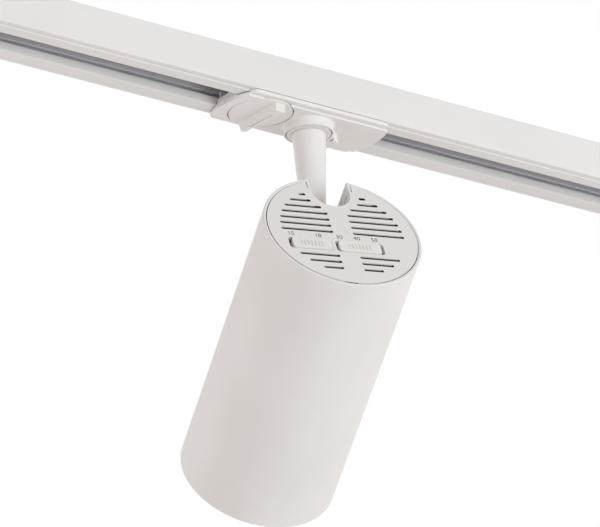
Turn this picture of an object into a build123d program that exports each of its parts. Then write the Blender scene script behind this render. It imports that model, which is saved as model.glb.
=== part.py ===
"""Track spotlight on a short length of single-circuit track, in millimetres.

The origin is on the ceiling face of the track, above the stem. +X runs along the track, +Z points up,
and the lamp head hangs below in the pose of the photograph: panned, tilted, and locked in the track.
"""
import os
from math import cos, radians, sin, sqrt

from build123d import *

# Track: a white extrusion with a roof, two walls and two flanges that leave a slot below.
RAIL_LENGTH = 500.0
RAIL_WIDTH = 35.0
RAIL_SIDE = 19.5
RAIL_WALL = 1.6
RAIL_ROOF = 2.0
RAIL_EDGE = 0.4
LEDGE_STEP = 0.5
LEDGE_WIDTH = 3.5
LIP_HEIGHT = 4.2
SLOT_WIDTH = 15.0
CEILING_HOLE_SPAN = 400.0
CEILING_HOLE_RADIUS = 2.25

# Insulated conductors inside the track.
INSULATOR_THICKNESS = 4.9
GROOVE_HEIGHT = 2.4
GROOVE_DEPTH = 2.8
CONDUCTOR_RISE = 2.6
CONDUCTOR_THICKNESS = 1.4
CONDUCTOR_HEIGHT = 2.0
CONDUCTOR_INSET = 3.0

# Track ends.
END_PLATE = 2.5
END_PLUG = 12.0
FEED_LENGTH = 44.0
FEED_BLOCK_LENGTH = 32.0
FEED_WALL = 3.0
FEED_PLATE = 2.5
FEED_SIDE_WALL = 2.2
FEED_END_WALL = 4.0
FEED_ROOF = 6.5
FEED_COVER = 1.2
FEED_COVER_LAP = 1.6
FEED_SCREW_LENGTH = 5.0
LID_SCREW_HEAD = 0.8
INLET_RADIUS = 5.5
INLET_DROP = 12.0
GROMMET_BORE = 3.75
GROMMET_FLANGE = 1.5
GROMMET_LAP = 1.5
TERMINAL_HEIGHT = 9.0
TERMINAL_LENGTH = 18.0
TERMINAL_PITCH = 5.6
TERMINAL_WAYS = 3
TERMINAL_SCREW_RADIUS = 1.3
TERMINAL_SCREW_LENGTH = 5.0
FEED_CONTACT_WIDTH = 6.0

# Adapter: a plate under the track, and a block that fills the slot.
COVER_END_MARGIN = 5.3
COVER_RIGHT = 40.0
COVER_INSET = 0.4
COVER_THICKNESS = 2.3
BORDER_WIDTH = 3.4
BORDER_STEP = 0.9
COVER_BULGE = 4.6
END_NEAR_SETBACK = 6.8
END_FAR_SETBACK = 3.8
END_APEX_Y = 3.0
END_RELIEF = 0.5
END_RELIEF_LENGTH = 7.6
COVER_CORNER = 3.0
BODY_INSET_LEFT = 1.3
BODY_INSET_RIGHT = 3.0
BODY_END_CUT = 4.0
BODY_END_DROP = 1.2
BODY_RIB = 1.2
BODY_RIB_INSET = 1.5
BODY_RIB_LENGTH = 3.2
BODY_RIB_RISE = 3.0
TOWER_LEFT = 10.0
TOWER_WALL = 0.95
TOWER_END_WALL = 1.4
TOWER_FLOOR = 1.9
LID_THICKNESS = 1.2
WIRE_TERMINAL_LENGTH = 14.0
WIRE_TERMINAL_WIDTH = 9.0
WIRE_TERMINAL_HEIGHT = 6.0
WIRE_TERMINAL_GAP_LEFT = 1.6
WIRE_TERMINAL_GAP_RIGHT = 0.4
WIRE_TERMINAL_PITCH = 4.6
WIRE_TERMINAL_HOLE = 3.0
SPRING_LENGTH = 30.0
SPRING_WIDTH = 6.0
SPRING_THICKNESS = 0.4
SPRING_BOW = 18.0
SPRING_FLAT = 6.0
SPRING_X = 13.0
SPRING_ROOM = 2.0
COVER_SCREW_BITE = 1.6
COVER_SCREW_INSET_LEFT = 3.3
COVER_SCREW_INSET_RIGHT = 3.7

# Collar round the stem, with a stop lug.
COLLAR_RADIUS = 11.9
COLLAR_HEIGHT = 4.5
COLLAR_WALL = 0.7
COLLAR_DEPTH = 2.2
COLLAR_FILLET = 1.2
COLLAR_EDGE = 0.25
LUG_LENGTH = 6.6
LUG_WIDTH = 6.6
LUG_CORNER = 0.7
LUG_SLOT_WIDTH = 1.7
LUG_SLOT_INSET = 2.3
LUG_SLOT_LENGTH = 4.7
LUG_SLOT_DEPTH = 1.0
LUG_SLOT_TURN = 80.0
LUG_START_ANGLE = -12.0
LUG_END_ANGLE = 55.0
LUG_NEAR_EDGE = 1.4

# Lever: a disc with a thumb bar, a shaft, and the rotor above it.
LEVER_GAP = 1.0
DISC_MARGIN = 1.8
DISC_GAP = 0.5
BAR_HEIGHT = 4.2
BAR_NEAR_INSET = 1.6
BAR_FAR_INSET = 1.3
BAR_TIP_LEFT = 0.9
BAR_TIP_RIGHT = 1.8
BAR_FLARE = 6.3
BAR_ROOT_NEAR = -1.35
BAR_ROOT_WAIST = -1.9
BAR_ROOT_FAR = -3.7
BAR_RIDGE_NEAR = -1.15
BAR_RIDGE_WAIST = -1.6
BAR_RIDGE_FAR = -2.2
BAR_CREST_NEAR = 3.9
BAR_CREST_WAIST = 0.9
BAR_CREST_FAR = 0.7
BAR_RIGHT_NEAR = 4.3
BAR_RIGHT_WAIST = 4.6
BAR_RIGHT_FAR = 4.4
BAR_GROOVE_X = -0.45
BAR_GROOVE_Y = -0.35
BAR_GROOVE_LENGTH = 17.2
BAR_GROOVE_WIDTH = 0.7
BAR_GROOVE_DEPTH = 2.2
BAR_GROOVE_TURN = 95.1
SHAFT_RADIUS = 5.0
TENON_LENGTH = 6.0
TENON_WIDTH = 4.0
LOCK_GAP = 0.5
LOCK_WIDTH = 9.0
LOCK_THICKNESS = 1.2
ROTOR_RADIUS = 6.0
ROTOR_HEIGHT = 6.0
ROTOR_EDGE = 0.8
BLADE_WIDTH = 5.0
BLADE_THICKNESS = 1.0
BLADE_ROOT = 2.3
BLADE_GAP = 0.3
LEVER_SCREW_BITE = 5.0

# Stem: flange, tapered tube and pivot eye.
FLANGE_THICKNESS = 2.3
FLANGE_GAP = 0.5
NECK_RADIUS = 4.0
STEM_TOP_RADIUS = 8.1
STEM_FOOT_RADIUS = 5.7
STEM_SHOULDER = 0.5
STEM_UNDERCUT = 0.5
STEM_FOOT_RISE = 7.3
STEM_BORE = 2.5
EYE_RADIUS = 6.8
EYE_THICKNESS = 10.0
EYE_FLAT_RISE = 11.0
WIRE_EXIT_RISE = 6.0
WIRE_EXIT_RADIUS = 2.0
NECK_STICKOUT = 6.0
PAN_NUT_GAP = 0.35
PAN_NUT_HEIGHT = 4.5
PAN_WASHER = 0.8
NUT_SLOT = 1.5

# Pose of the lamp head in the photograph.
PIVOT_DROP = 80.33
PAN_ANGLE = 72.04
TILT_ANGLE = 63.25
PIVOT_INSET = 8.7
PIVOT_DEPTH = 27.6

# Lamp head: tube, vented rear cap, slot for the stem.
HEAD_RADIUS = 38.2
HEAD_LENGTH = 153.0
HEAD_WALL = 1.5
HEAD_EDGE = 0.3
NOTCH_HALF = 9.5
NOTCH_RIB = 1.2
NOTCH_RIB_DEPTH = 6.1
NOTCH_RIB_LENGTH = 18.0
CAP_THICKNESS = 2.4
CAP_GAP = 0.4
CAP_LEDGE = 2.1
CAP_LEDGE_THICKNESS = 1.4
CAP_LEG_WIDTH = 8.0
CAP_LEG_THICKNESS = 1.0
CAP_LEG_LENGTH = 6.0
CAP_HOOK = 0.9
CAP_HOOK_HEIGHT = 1.2
CAP_SKIRT = 8.0
VENT_WIDTH = 1.7
VENT_PITCH = 4.33
VENT_MARGIN = 6.1
VENT_MIDDLE = 4.8
VENT_NOTCH_MARGIN = 3.9
VENT_TOP_START = -0.7
VENT_TOP_ROWS = 7
VENT_LOW_START = -17.8
VENT_LOW_ROWS = 3
VENT_SHORTEST = 2.0
DIMPLE_X = 1.5
DIMPLE_RADIUS = 1.2
DIMPLE_DEPTH = 0.3

# Slide switches in the rear cap.
SWITCH_B = -10.7
SWITCH_HEIGHT = 7.6
SWITCH_CORNER = 1.6
POWER_RIGHT = -7.0
COLOUR_LEFT = -5.4
COLOUR_RIGHT = 18.2
SLIDER_GAP = 0.3
POWER_TRAVEL = 1.6
COLOUR_TRAVEL = 1.3
SLIDER_PROUD = 0.3
SLIDER_LIP = 1.0
SLIDER_LIP_THICKNESS = 1.0
SLIDER_RIBS = 7
SLIDER_RIB_PITCH = 1.7
SLIDER_RIB_WIDTH = 0.5
SLIDER_RIB_HEIGHT = 0.35
PEG_SIZE = 2.0
PEG_LENGTH = 3.0
SWITCH_BODY_LENGTH = 13.0
SWITCH_BODY_HEIGHT = 6.0
SWITCH_BODY_DEPTH = 5.0
SWITCH_BOARD = 1.6
POST_RADIUS = 2.0
BOARD_MARGIN = 2.2
BOARD_HEIGHT = 10.0
BOARD_CORNER = 3.0
POST_ROOM = 2.2
POST_HOLE = 5.0
SWITCH_BODY_GAP = 0.5
PEG_ROOM = 0.4

# Pivot bracket on the chassis plate.
CHASSIS_DEPTH = 55.5
CHASSIS_THICKNESS = 2.5
WIRE_HOLE = 3.0
MID_LEDGE = 2.5
MID_LEDGE_THICKNESS = 2.0
CHEEK_THICKNESS = 2.0
CHEEK_HALF_WIDTH = 6.5
BRACKET_FOOT = 2.0
BRACKET_FOOT_HALF = 14.0
WASHER_RADIUS = 6.0
WASHER_THICKNESS = 0.5
BOLT_RADIUS = 2.5
BOLT_HEAD_RADIUS = 4.0
BOLT_HEAD_HEIGHT = 2.6
PIVOT_NUT_RADIUS = 4.5
PIVOT_NUT_HEIGHT = 3.2

# Driver on the chassis plate.
CASE_HIGH = 14.0
CASE_SCREW_GAP = 0.85
CASE_BOARD_GAP = 1.5
CASE_WALL = 1.5
CASE_CORNER = 3.0
DRIVER_BOARD = 1.6
TRANSFORMER_WIDTH = 18.0
TRANSFORMER_HEIGHT = 16.0
TRANSFORMER_DEPTH = 15.0
TRANSFORMER_X = -8.2
CAPACITOR_RADIUS = 5.0
CAPACITOR_LENGTH = 20.0
CAPACITOR_X = 10.3
CAPACITOR_PITCH = 15.0

# Light engine in the front half of the tube.
SINK_LENGTH = 42.0
SINK_BASE = 8.0
SINK_GAP = 0.3
FIN_PITCH = 6.0
FIN_SLOT = 4.0
FIN_SLOTS = 10
SINK_POST_RADIUS = 3.5
SINK_POST_INSET = 7.2
SINK_SCREW_BITE = 8.0
SINK_POSTS = 3
SINK_POST_ANGLE = 30.0
LED_BOARD_SIZE = 20.0
LED_BOARD = 1.5
EMITTER_RADIUS = 7.0
EMITTER_HEIGHT = 0.8
HOLDER_RADIUS = 18.0
HOLDER_THICKNESS = 4.0
HOLDER_WINDOW = 9.0
HOLDER_SCREW_CIRCLE = 14.5
HOLDER_SCREW_BITE = 5.0
REFLECTOR_INSET = 3.7
REFLECTOR_THROAT = 10.0
REFLECTOR_WALL = 1.2
REFLECTOR_FLANGE = 1.2
REFLECTOR_BLOOM = 1.2
GLASS_THICKNESS = 3.0
BEZEL_THICKNESS = 2.4
BEZEL_WIDTH = 3.5

# Screws shared by several pieces.
SCREW_RADIUS = 1.5
SCREW_HEAD_RADIUS = 2.7
SCREW_HEAD_HEIGHT = 1.6
SMALL_SCREW_RADIUS = 1.0
SMALL_SCREW_HEAD_RADIUS = 1.9
SMALL_SCREW_HEAD_HEIGHT = 1.2

# Clearances.
SLIDE_GAP = 0.3
COVER_GAP = 0.2
RUNNING_GAP = 0.05
NECK_GAP = 0.08
LOOSE_GAP = 0.2

# Levels and half widths that several pieces share.
SIDE_EDGE = -RAIL_SIDE
RAIL_BOTTOM = SIDE_EDGE - LEDGE_STEP
ROOF_UNDER = -RAIL_ROOF
LIP_TOP = RAIL_BOTTOM + LIP_HEIGHT
RAIL_HALF = RAIL_WIDTH / 2
FLANGE_HALF = RAIL_HALF - LEDGE_WIDTH
CAVITY_HALF = RAIL_HALF - RAIL_WALL
SLOT_HALF = SLOT_WIDTH / 2
RAIL_START = -RAIL_LENGTH / 2
INSULATOR_FACE = CAVITY_HALF - INSULATOR_THICKNESS
CONDUCTOR_Z = LIP_TOP + CONDUCTOR_RISE
CONDUCTOR_BACK = INSULATOR_FACE + GROOVE_DEPTH
CONDUCTOR_FACE = CONDUCTOR_BACK - CONDUCTOR_THICKNESS
COVER_TOP = RAIL_BOTTOM - COVER_GAP
COVER_BOTTOM = COVER_TOP - COVER_THICKNESS
COVER_HALF = RAIL_HALF - COVER_INSET
DISC_RADIUS = COVER_HALF - DISC_MARGIN
DISC_THICKNESS = COVER_THICKNESS - SLIDE_GAP
LEVER_X = -COLLAR_RADIUS - LEVER_GAP - DISC_RADIUS
COVER_LEFT = DISC_RADIUS + DISC_GAP + COVER_END_MARGIN - LEVER_X
BODY_LEFT = COVER_LEFT - BODY_INSET_LEFT
BODY_RIGHT = COVER_RIGHT - BODY_INSET_RIGHT
BODY_HALF = SLOT_HALF - SLIDE_GAP
BASE_TOP = LIP_TOP - COVER_GAP / 2
COLLAR_BORE = COLLAR_RADIUS - COLLAR_WALL
COLLAR_BOTTOM = COVER_BOTTOM - COLLAR_HEIGHT
COLLAR_FLOOR = COLLAR_BOTTOM + COLLAR_DEPTH
TOWER_FLOOR_Z = BASE_TOP + TOWER_FLOOR
TOWER_TOP = ROOF_UNDER - SPRING_ROOM - LID_THICKNESS
TOWER_INNER_HALF = BODY_HALF - TOWER_WALL
PAN_NUT_RADIUS = TOWER_INNER_HALF - PAN_NUT_GAP
LOCK_BOTTOM = LIP_TOP + SLIDE_GAP
LOCK_TOP = LOCK_BOTTOM + LOCK_THICKNESS
DISC_TOP = COVER_BOTTOM + DISC_THICKNESS
CHEEK_INNER = EYE_THICKNESS / 2 + WASHER_THICKNESS + NECK_GAP
CHEEK_OUTER = CHEEK_INNER + CHEEK_THICKNESS
COVER_SCREW_LEFT = COVER_SCREW_INSET_LEFT - COVER_LEFT
COVER_SCREW_RIGHT = BODY_RIGHT - COVER_SCREW_INSET_RIGHT
WIRE_TERMINAL_END = COVER_SCREW_RIGHT - SMALL_SCREW_HEAD_RADIUS - WIRE_TERMINAL_GAP_RIGHT
WIRE_TERMINAL_START = WIRE_TERMINAL_END - WIRE_TERMINAL_LENGTH
WIRE_TERMINAL_X = (WIRE_TERMINAL_START + WIRE_TERMINAL_END) / 2
COVER_SCREW_MIDDLE = WIRE_TERMINAL_START - WIRE_TERMINAL_GAP_LEFT - SMALL_SCREW_HEAD_RADIUS
COVER_SCREWS = (COVER_SCREW_LEFT, COVER_SCREW_MIDDLE, COVER_SCREW_RIGHT)
COVER_SCREW_SEATS = (BASE_TOP - BODY_END_DROP, TOWER_FLOOR_Z, TOWER_FLOOR_Z)
HEAD_BORE = HEAD_RADIUS - HEAD_WALL
PIVOT_OFFSET = HEAD_BORE - PIVOT_INSET


def level(height, x=0.0):
    """A horizontal plane at a height, with its origin on the track's centre line."""
    return Plane(origin=(x, 0, height), x_dir=(1, 0, 0), z_dir=(0, 0, 1))


def screw(plane, radius, length, head_radius, head_height):
    """A pan head screw that goes down into the plane, with its head standing on it."""
    with BuildPart() as piece:
        with BuildSketch(plane):
            Circle(head_radius)
        extrude(amount=head_height)
        with BuildSketch(plane):
            Circle(radius)
        extrude(amount=-length)
    return piece.part


def save(builder, name):
    """Label a finished piece and write it under its own name."""
    builder.part.label = name
    export_step(builder.part, f"parts/{name}.step")


os.makedirs("parts", exist_ok=True)

# Track rail, one profile along its whole length, with two screw holes in its roof.
with BuildPart() as track_rail:
    with BuildSketch(Plane.YZ.offset(RAIL_START)) as rail_profile:
        with BuildLine():
            Polyline(
                (0, 0),
                (RAIL_HALF, 0),
                (RAIL_HALF, SIDE_EDGE),
                (FLANGE_HALF, SIDE_EDGE),
                (FLANGE_HALF, RAIL_BOTTOM),
                (SLOT_HALF, RAIL_BOTTOM),
                (SLOT_HALF, LIP_TOP),
                (CAVITY_HALF, LIP_TOP),
                (CAVITY_HALF, ROOF_UNDER),
                (0, ROOF_UNDER),
                close=True,
            )
        make_face()
        mirror(about=Plane.YZ)
        rail_corners = rail_profile.vertices().filter_by(lambda v: abs(v.X) > RAIL_HALF - RAIL_EDGE)
        slot_corners = rail_profile.vertices().group_by(Axis.Y)[0]
        fillet(rail_corners + slot_corners, RAIL_EDGE)
    extrude(amount=RAIL_LENGTH)
    with BuildSketch(level(0)):
        with GridLocations(CEILING_HOLE_SPAN, 1, 2, 1):
            Circle(CEILING_HOLE_RADIUS)
    extrude(amount=-RAIL_ROOF, mode=Mode.SUBTRACT)
save(track_rail, "track_rail")

# A grooved insulator strip against each wall, and the copper conductor in its groove.
for side_name, side in (("near", -1), ("far", 1)):
    with BuildPart() as insulator:
        with BuildSketch(Plane.YZ.offset(RAIL_START)):
            with BuildLine():
                Polyline(
                    (side * CAVITY_HALF, LIP_TOP),
                    (side * CAVITY_HALF, ROOF_UNDER),
                    (side * INSULATOR_FACE, ROOF_UNDER),
                    (side * INSULATOR_FACE, CONDUCTOR_Z + GROOVE_HEIGHT / 2),
                    (side * CONDUCTOR_BACK, CONDUCTOR_Z + GROOVE_HEIGHT / 2),
                    (side * CONDUCTOR_BACK, CONDUCTOR_Z - GROOVE_HEIGHT / 2),
                    (side * INSULATOR_FACE, CONDUCTOR_Z - GROOVE_HEIGHT / 2),
                    (side * INSULATOR_FACE, LIP_TOP),
                    close=True,
                )
            make_face()
        extrude(amount=RAIL_LENGTH)
    save(insulator, side_name + "_insulator")

    with BuildPart() as conductor:
        with BuildSketch(Plane.YZ.offset(RAIL_START + CONDUCTOR_INSET)):
            with Locations((side * (CONDUCTOR_BACK - CONDUCTOR_THICKNESS / 2), CONDUCTOR_Z)):
                Rectangle(CONDUCTOR_THICKNESS, CONDUCTOR_HEIGHT)
        extrude(amount=RAIL_LENGTH - 2 * CONDUCTOR_INSET)
    save(conductor, side_name + "_conductor")

# End cap: a plate the shape of the rail's end, with a plug between the insulators.
with BuildPart() as end_cap:
    with BuildSketch(Plane.YZ.offset(-RAIL_START)):
        with Locations((0, SIDE_EDGE / 2)):
            Rectangle(RAIL_WIDTH, RAIL_SIDE)
        with Locations((0, RAIL_BOTTOM / 2)):
            Rectangle(2 * FLANGE_HALF, -RAIL_BOTTOM)
    extrude(amount=END_PLATE)
    fillet(end_cap.edges().group_by(Axis.X)[-1], RAIL_EDGE)
    plug_top = ROOF_UNDER - LOOSE_GAP
    plug_half = INSULATOR_FACE - LOOSE_GAP
    with BuildSketch(Plane.YZ.offset(-RAIL_START)):
        with Locations((0, (plug_top + LIP_TOP) / 2)):
            Rectangle(2 * plug_half, plug_top - LIP_TOP)
    extrude(amount=-END_PLUG)
save(end_cap, "end_cap")

# Live end housing: end wall, lower plate, and a block that fills the slot and the space above it.
FEED_BOTTOM = RAIL_BOTTOM - FEED_PLATE
FEED_END = RAIL_START + FEED_LENGTH
BLOCK_END = RAIL_START + FEED_BLOCK_LENGTH
BLOCK_HALF = INSULATOR_FACE - LOOSE_GAP
BLOCK_TOP = ROOF_UNDER - LOOSE_GAP
POCKET_HALF = SLOT_HALF - LOOSE_GAP - FEED_SIDE_WALL
POCKET_START = RAIL_START + FEED_END_WALL
POCKET_END = BLOCK_END - FEED_END_WALL
POCKET_TOP = -FEED_ROOF
POCKET_X = (POCKET_START + POCKET_END) / 2
LID_START = POCKET_START - FEED_COVER_LAP
LID_END = FEED_END - FEED_COVER_LAP
LID_X = (LID_START + LID_END) / 2
LID_HALF = POCKET_HALF + FEED_COVER_LAP
LID_INNER = FEED_BOTTOM + FEED_COVER
LID_SCREW_X = (BLOCK_END + FEED_END) / 2
with BuildPart() as feed_housing:
    with BuildSketch(Plane.YZ.offset(RAIL_START)):
        with Locations((0, FEED_BOTTOM / 2)):
            Rectangle(2 * COVER_HALF, -FEED_BOTTOM)
    extrude(amount=-FEED_WALL)
    fillet(feed_housing.edges().group_by(Axis.X)[0], RAIL_EDGE)
    with BuildSketch(level(FEED_BOTTOM, RAIL_START + FEED_LENGTH / 2)):
        Rectangle(FEED_LENGTH, 2 * FLANGE_HALF)
    extrude(amount=FEED_PLATE)
    with BuildSketch(level(RAIL_BOTTOM, RAIL_START + FEED_LENGTH / 2)):
        Rectangle(FEED_LENGTH, 2 * (SLOT_HALF - LOOSE_GAP))
    extrude(amount=LIP_HEIGHT)
    with BuildSketch(level(LIP_TOP, RAIL_START + FEED_BLOCK_LENGTH / 2)):
        Rectangle(FEED_BLOCK_LENGTH, 2 * BLOCK_HALF)
    extrude(amount=BLOCK_TOP - LIP_TOP)
    with BuildSketch(level(FEED_BOTTOM, POCKET_X)):
        Rectangle(POCKET_END - POCKET_START, 2 * POCKET_HALF)
    extrude(amount=POCKET_TOP - FEED_BOTTOM, mode=Mode.SUBTRACT)
    with BuildSketch(level(FEED_BOTTOM, LID_X)):
        Rectangle(LID_END - LID_START, 2 * LID_HALF)
    extrude(amount=FEED_COVER, mode=Mode.SUBTRACT)
    with BuildSketch(Plane.YZ.offset(RAIL_START - FEED_WALL)):
        with Locations((0, -INLET_DROP)):
            Circle(INLET_RADIUS)
    extrude(amount=FEED_WALL, mode=Mode.SUBTRACT)
    with BuildSketch(Plane.YZ.offset(RAIL_START)):
        with Locations((0, -INLET_DROP)):
            Circle(GROMMET_BORE)
    extrude(amount=FEED_END_WALL, mode=Mode.SUBTRACT)
    with BuildSketch(Plane.YZ.offset(POCKET_X - FEED_CONTACT_WIDTH / 2 - LOOSE_GAP)):
        with Locations((0, CONDUCTOR_Z)):
            Rectangle(2 * BLOCK_HALF, BLADE_THICKNESS + 2 * LOOSE_GAP)
    extrude(amount=FEED_CONTACT_WIDTH + 2 * LOOSE_GAP, mode=Mode.SUBTRACT)
    with BuildSketch(level(LID_INNER, LID_SCREW_X)):
        Circle(SMALL_SCREW_RADIUS + RUNNING_GAP)
    extrude(amount=FEED_SCREW_LENGTH, mode=Mode.SUBTRACT)
save(feed_housing, "feed_housing")

# Lid over the wiring pocket, let into the lower plate, and its one screw.
with BuildPart() as feed_cover:
    with BuildSketch(level(FEED_BOTTOM, LID_X)):
        Rectangle(LID_END - LID_START - 2 * LOOSE_GAP, 2 * (LID_HALF - LOOSE_GAP))
    extrude(amount=FEED_COVER)
    with BuildSketch(level(FEED_BOTTOM, LID_SCREW_X)):
        Circle(SMALL_SCREW_RADIUS + RUNNING_GAP)
    extrude(amount=FEED_COVER, mode=Mode.SUBTRACT)
save(feed_cover, "feed_cover")

with BuildPart() as feed_cover_screw:
    under_lid = Plane(origin=(LID_SCREW_X, 0, FEED_BOTTOM), z_dir=(0, 0, -1))
    add(screw(under_lid, SMALL_SCREW_RADIUS, FEED_SCREW_LENGTH, SMALL_SCREW_HEAD_RADIUS, LID_SCREW_HEAD))
save(feed_cover_screw, "feed_cover_screw")

# Terminal block against the roof of the pocket, with three clamp screws from below.
TERMINAL_BOTTOM = POCKET_TOP - TERMINAL_HEIGHT
with BuildPart() as terminal_block:
    with BuildSketch(level(TERMINAL_BOTTOM, POCKET_X)):
        Rectangle(TERMINAL_LENGTH, 2 * (POCKET_HALF - LOOSE_GAP))
    extrude(amount=TERMINAL_HEIGHT)
    with BuildSketch(level(TERMINAL_BOTTOM, POCKET_X)):
        with GridLocations(TERMINAL_PITCH, 1, TERMINAL_WAYS, 1):
            Circle(TERMINAL_SCREW_RADIUS + RUNNING_GAP)
    extrude(amount=TERMINAL_SCREW_LENGTH, mode=Mode.SUBTRACT)
save(terminal_block, "terminal_block")

with BuildPart() as terminal_screws:
    with BuildSketch(level(TERMINAL_BOTTOM, POCKET_X)):
        with GridLocations(TERMINAL_PITCH, 1, TERMINAL_WAYS, 1):
            Circle(TERMINAL_SCREW_RADIUS)
    extrude(amount=TERMINAL_SCREW_LENGTH)
save(terminal_screws, "terminal_screws")

# Copper strips from the terminal block to the two conductors.
with BuildPart() as feed_contacts:
    for side in (-1, 1):
        strip_start = POCKET_HALF - LOOSE_GAP
        with BuildSketch(Plane.YZ.offset(POCKET_X - FEED_CONTACT_WIDTH / 2)):
            with Locations((side * (strip_start + CONDUCTOR_FACE) / 2, CONDUCTOR_Z)):
                Rectangle(CONDUCTOR_FACE - strip_start, BLADE_THICKNESS)
        extrude(amount=FEED_CONTACT_WIDTH)
save(feed_contacts, "feed_contacts")

# Rubber grommet in the end wall, where the supply cable comes in.
with BuildPart() as cable_grommet:
    with BuildSketch(Plane.YZ.offset(RAIL_START)):
        with Locations((0, -INLET_DROP)):
            Circle(INLET_RADIUS - RUNNING_GAP)
            Circle(GROMMET_BORE, mode=Mode.SUBTRACT)
    extrude(amount=-FEED_WALL)
    with BuildSketch(Plane.YZ.offset(RAIL_START - FEED_WALL)):
        with Locations((0, -INLET_DROP)):
            Circle(INLET_RADIUS + GROMMET_LAP)
            Circle(GROMMET_BORE, mode=Mode.SUBTRACT)
    extrude(amount=-GROMMET_FLANGE)
    fillet(cable_grommet.edges().group_by(Axis.X)[0].sort_by(SortBy.LENGTH)[-1], GROMMET_FLANGE / 2)
save(cable_grommet, "cable_grommet")

# Adapter cover: a plate with bowed ends and a stepped border, side lips in the rail's ledges,
# and the stem collar.
LIP_OUTER = SIDE_EDGE - SLIDE_GAP
LIP_INNER_HALF = FLANGE_HALF + SLIDE_GAP
SHOULDER_NEAR = -COVER_LEFT + END_NEAR_SETBACK
SHOULDER_FAR = -COVER_LEFT + END_FAR_SETBACK
SHOULDER_RIGHT = COVER_RIGHT - COVER_BULGE
with BuildPart() as adapter_cover:
    with BuildSketch(level(COVER_BOTTOM)) as cover_outline:
        with BuildLine():
            Line((SHOULDER_NEAR, -COVER_HALF), (SHOULDER_RIGHT, -COVER_HALF))
            ThreePointArc((SHOULDER_RIGHT, -COVER_HALF), (COVER_RIGHT, 0), (SHOULDER_RIGHT, COVER_HALF))
            Line((SHOULDER_RIGHT, COVER_HALF), (SHOULDER_FAR, COVER_HALF))
            ThreePointArc((SHOULDER_FAR, COVER_HALF), (-COVER_LEFT, END_APEX_Y), (SHOULDER_NEAR, -COVER_HALF))
        make_face()
        fillet(cover_outline.vertices(), COVER_CORNER)
    extrude(amount=LIP_OUTER - COVER_BOTTOM)
    with BuildSketch(level(COVER_BOTTOM)):
        with GridLocations(1, 2 * COVER_HALF - BORDER_WIDTH, 1, 2):
            Rectangle(2 * (COVER_LEFT + COVER_RIGHT), BORDER_WIDTH)
    extrude(amount=BORDER_STEP, mode=Mode.SUBTRACT)
    with BuildSketch(level(COVER_TOP)):
        Rectangle(2 * (COVER_LEFT + COVER_RIGHT), 2 * LIP_INNER_HALF)
    extrude(amount=LIP_OUTER - COVER_TOP, mode=Mode.SUBTRACT)
    with BuildSketch(level(COVER_TOP, END_RELIEF_LENGTH / 2 - COVER_LEFT)):
        with GridLocations(1, BODY_HALF + LIP_INNER_HALF, 1, 2):
            Rectangle(END_RELIEF_LENGTH, LIP_INNER_HALF - BODY_HALF)
    extrude(amount=-END_RELIEF, mode=Mode.SUBTRACT)
    with BuildSketch(level(COVER_BOTTOM)):
        Circle(COLLAR_RADIUS)
    extrude(amount=-COLLAR_HEIGHT)
    collar_edges = adapter_cover.edges().filter_by(GeomType.CIRCLE)
    collar_edges = collar_edges.filter_by(lambda e: abs(e.radius - COLLAR_RADIUS) < RUNNING_GAP)
    fillet(collar_edges.group_by(Axis.Z)[-1], COLLAR_FILLET)
    lug_reach = COLLAR_RADIUS + LUG_LENGTH
    with BuildSketch(level(COVER_BOTTOM)) as lug_outline:
        with BuildLine():
            Polyline(
                Vector(COLLAR_RADIUS, 0).rotate(Axis.Z, LUG_START_ANGLE),
                (lug_reach, LUG_NEAR_EDGE),
                (lug_reach, LUG_NEAR_EDGE + LUG_WIDTH),
                Vector(COLLAR_RADIUS, 0).rotate(Axis.Z, LUG_END_ANGLE),
                close=True,
            )
        make_face()
        fillet(lug_outline.vertices().group_by(Axis.X)[-1], LUG_CORNER)
    extrude(amount=-COLLAR_HEIGHT)
    fillet(adapter_cover.edges().group_by(Axis.Z)[0], COLLAR_EDGE)
    with BuildSketch(level(COLLAR_BOTTOM)):
        Circle(COLLAR_BORE)
    extrude(amount=COLLAR_DEPTH, mode=Mode.SUBTRACT)
    with BuildSketch(level(COLLAR_BOTTOM)):
        with Locations((COLLAR_BORE + LUG_SLOT_INSET, 0)):
            SlotOverall(LUG_SLOT_LENGTH, LUG_SLOT_WIDTH, rotation=LUG_SLOT_TURN)
    extrude(amount=LUG_SLOT_DEPTH, mode=Mode.SUBTRACT)
    with BuildSketch(level(COLLAR_FLOOR)):
        Circle(NECK_RADIUS + NECK_GAP)
    extrude(amount=LIP_OUTER - COLLAR_FLOOR, mode=Mode.SUBTRACT)
    with BuildSketch(level(COVER_BOTTOM - COLLAR_FILLET, LEVER_X)):
        Circle(DISC_RADIUS + DISC_GAP)
    extrude(amount=LIP_OUTER - COVER_BOTTOM + COLLAR_FILLET, mode=Mode.SUBTRACT)
    with BuildSketch(level(COVER_TOP)):
        with Locations(*[(x, 0) for x in COVER_SCREWS]):
            Circle(SMALL_SCREW_RADIUS + RUNNING_GAP)
    extrude(amount=-COVER_SCREW_BITE, mode=Mode.SUBTRACT)
save(adapter_cover, "adapter_cover")

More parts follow.
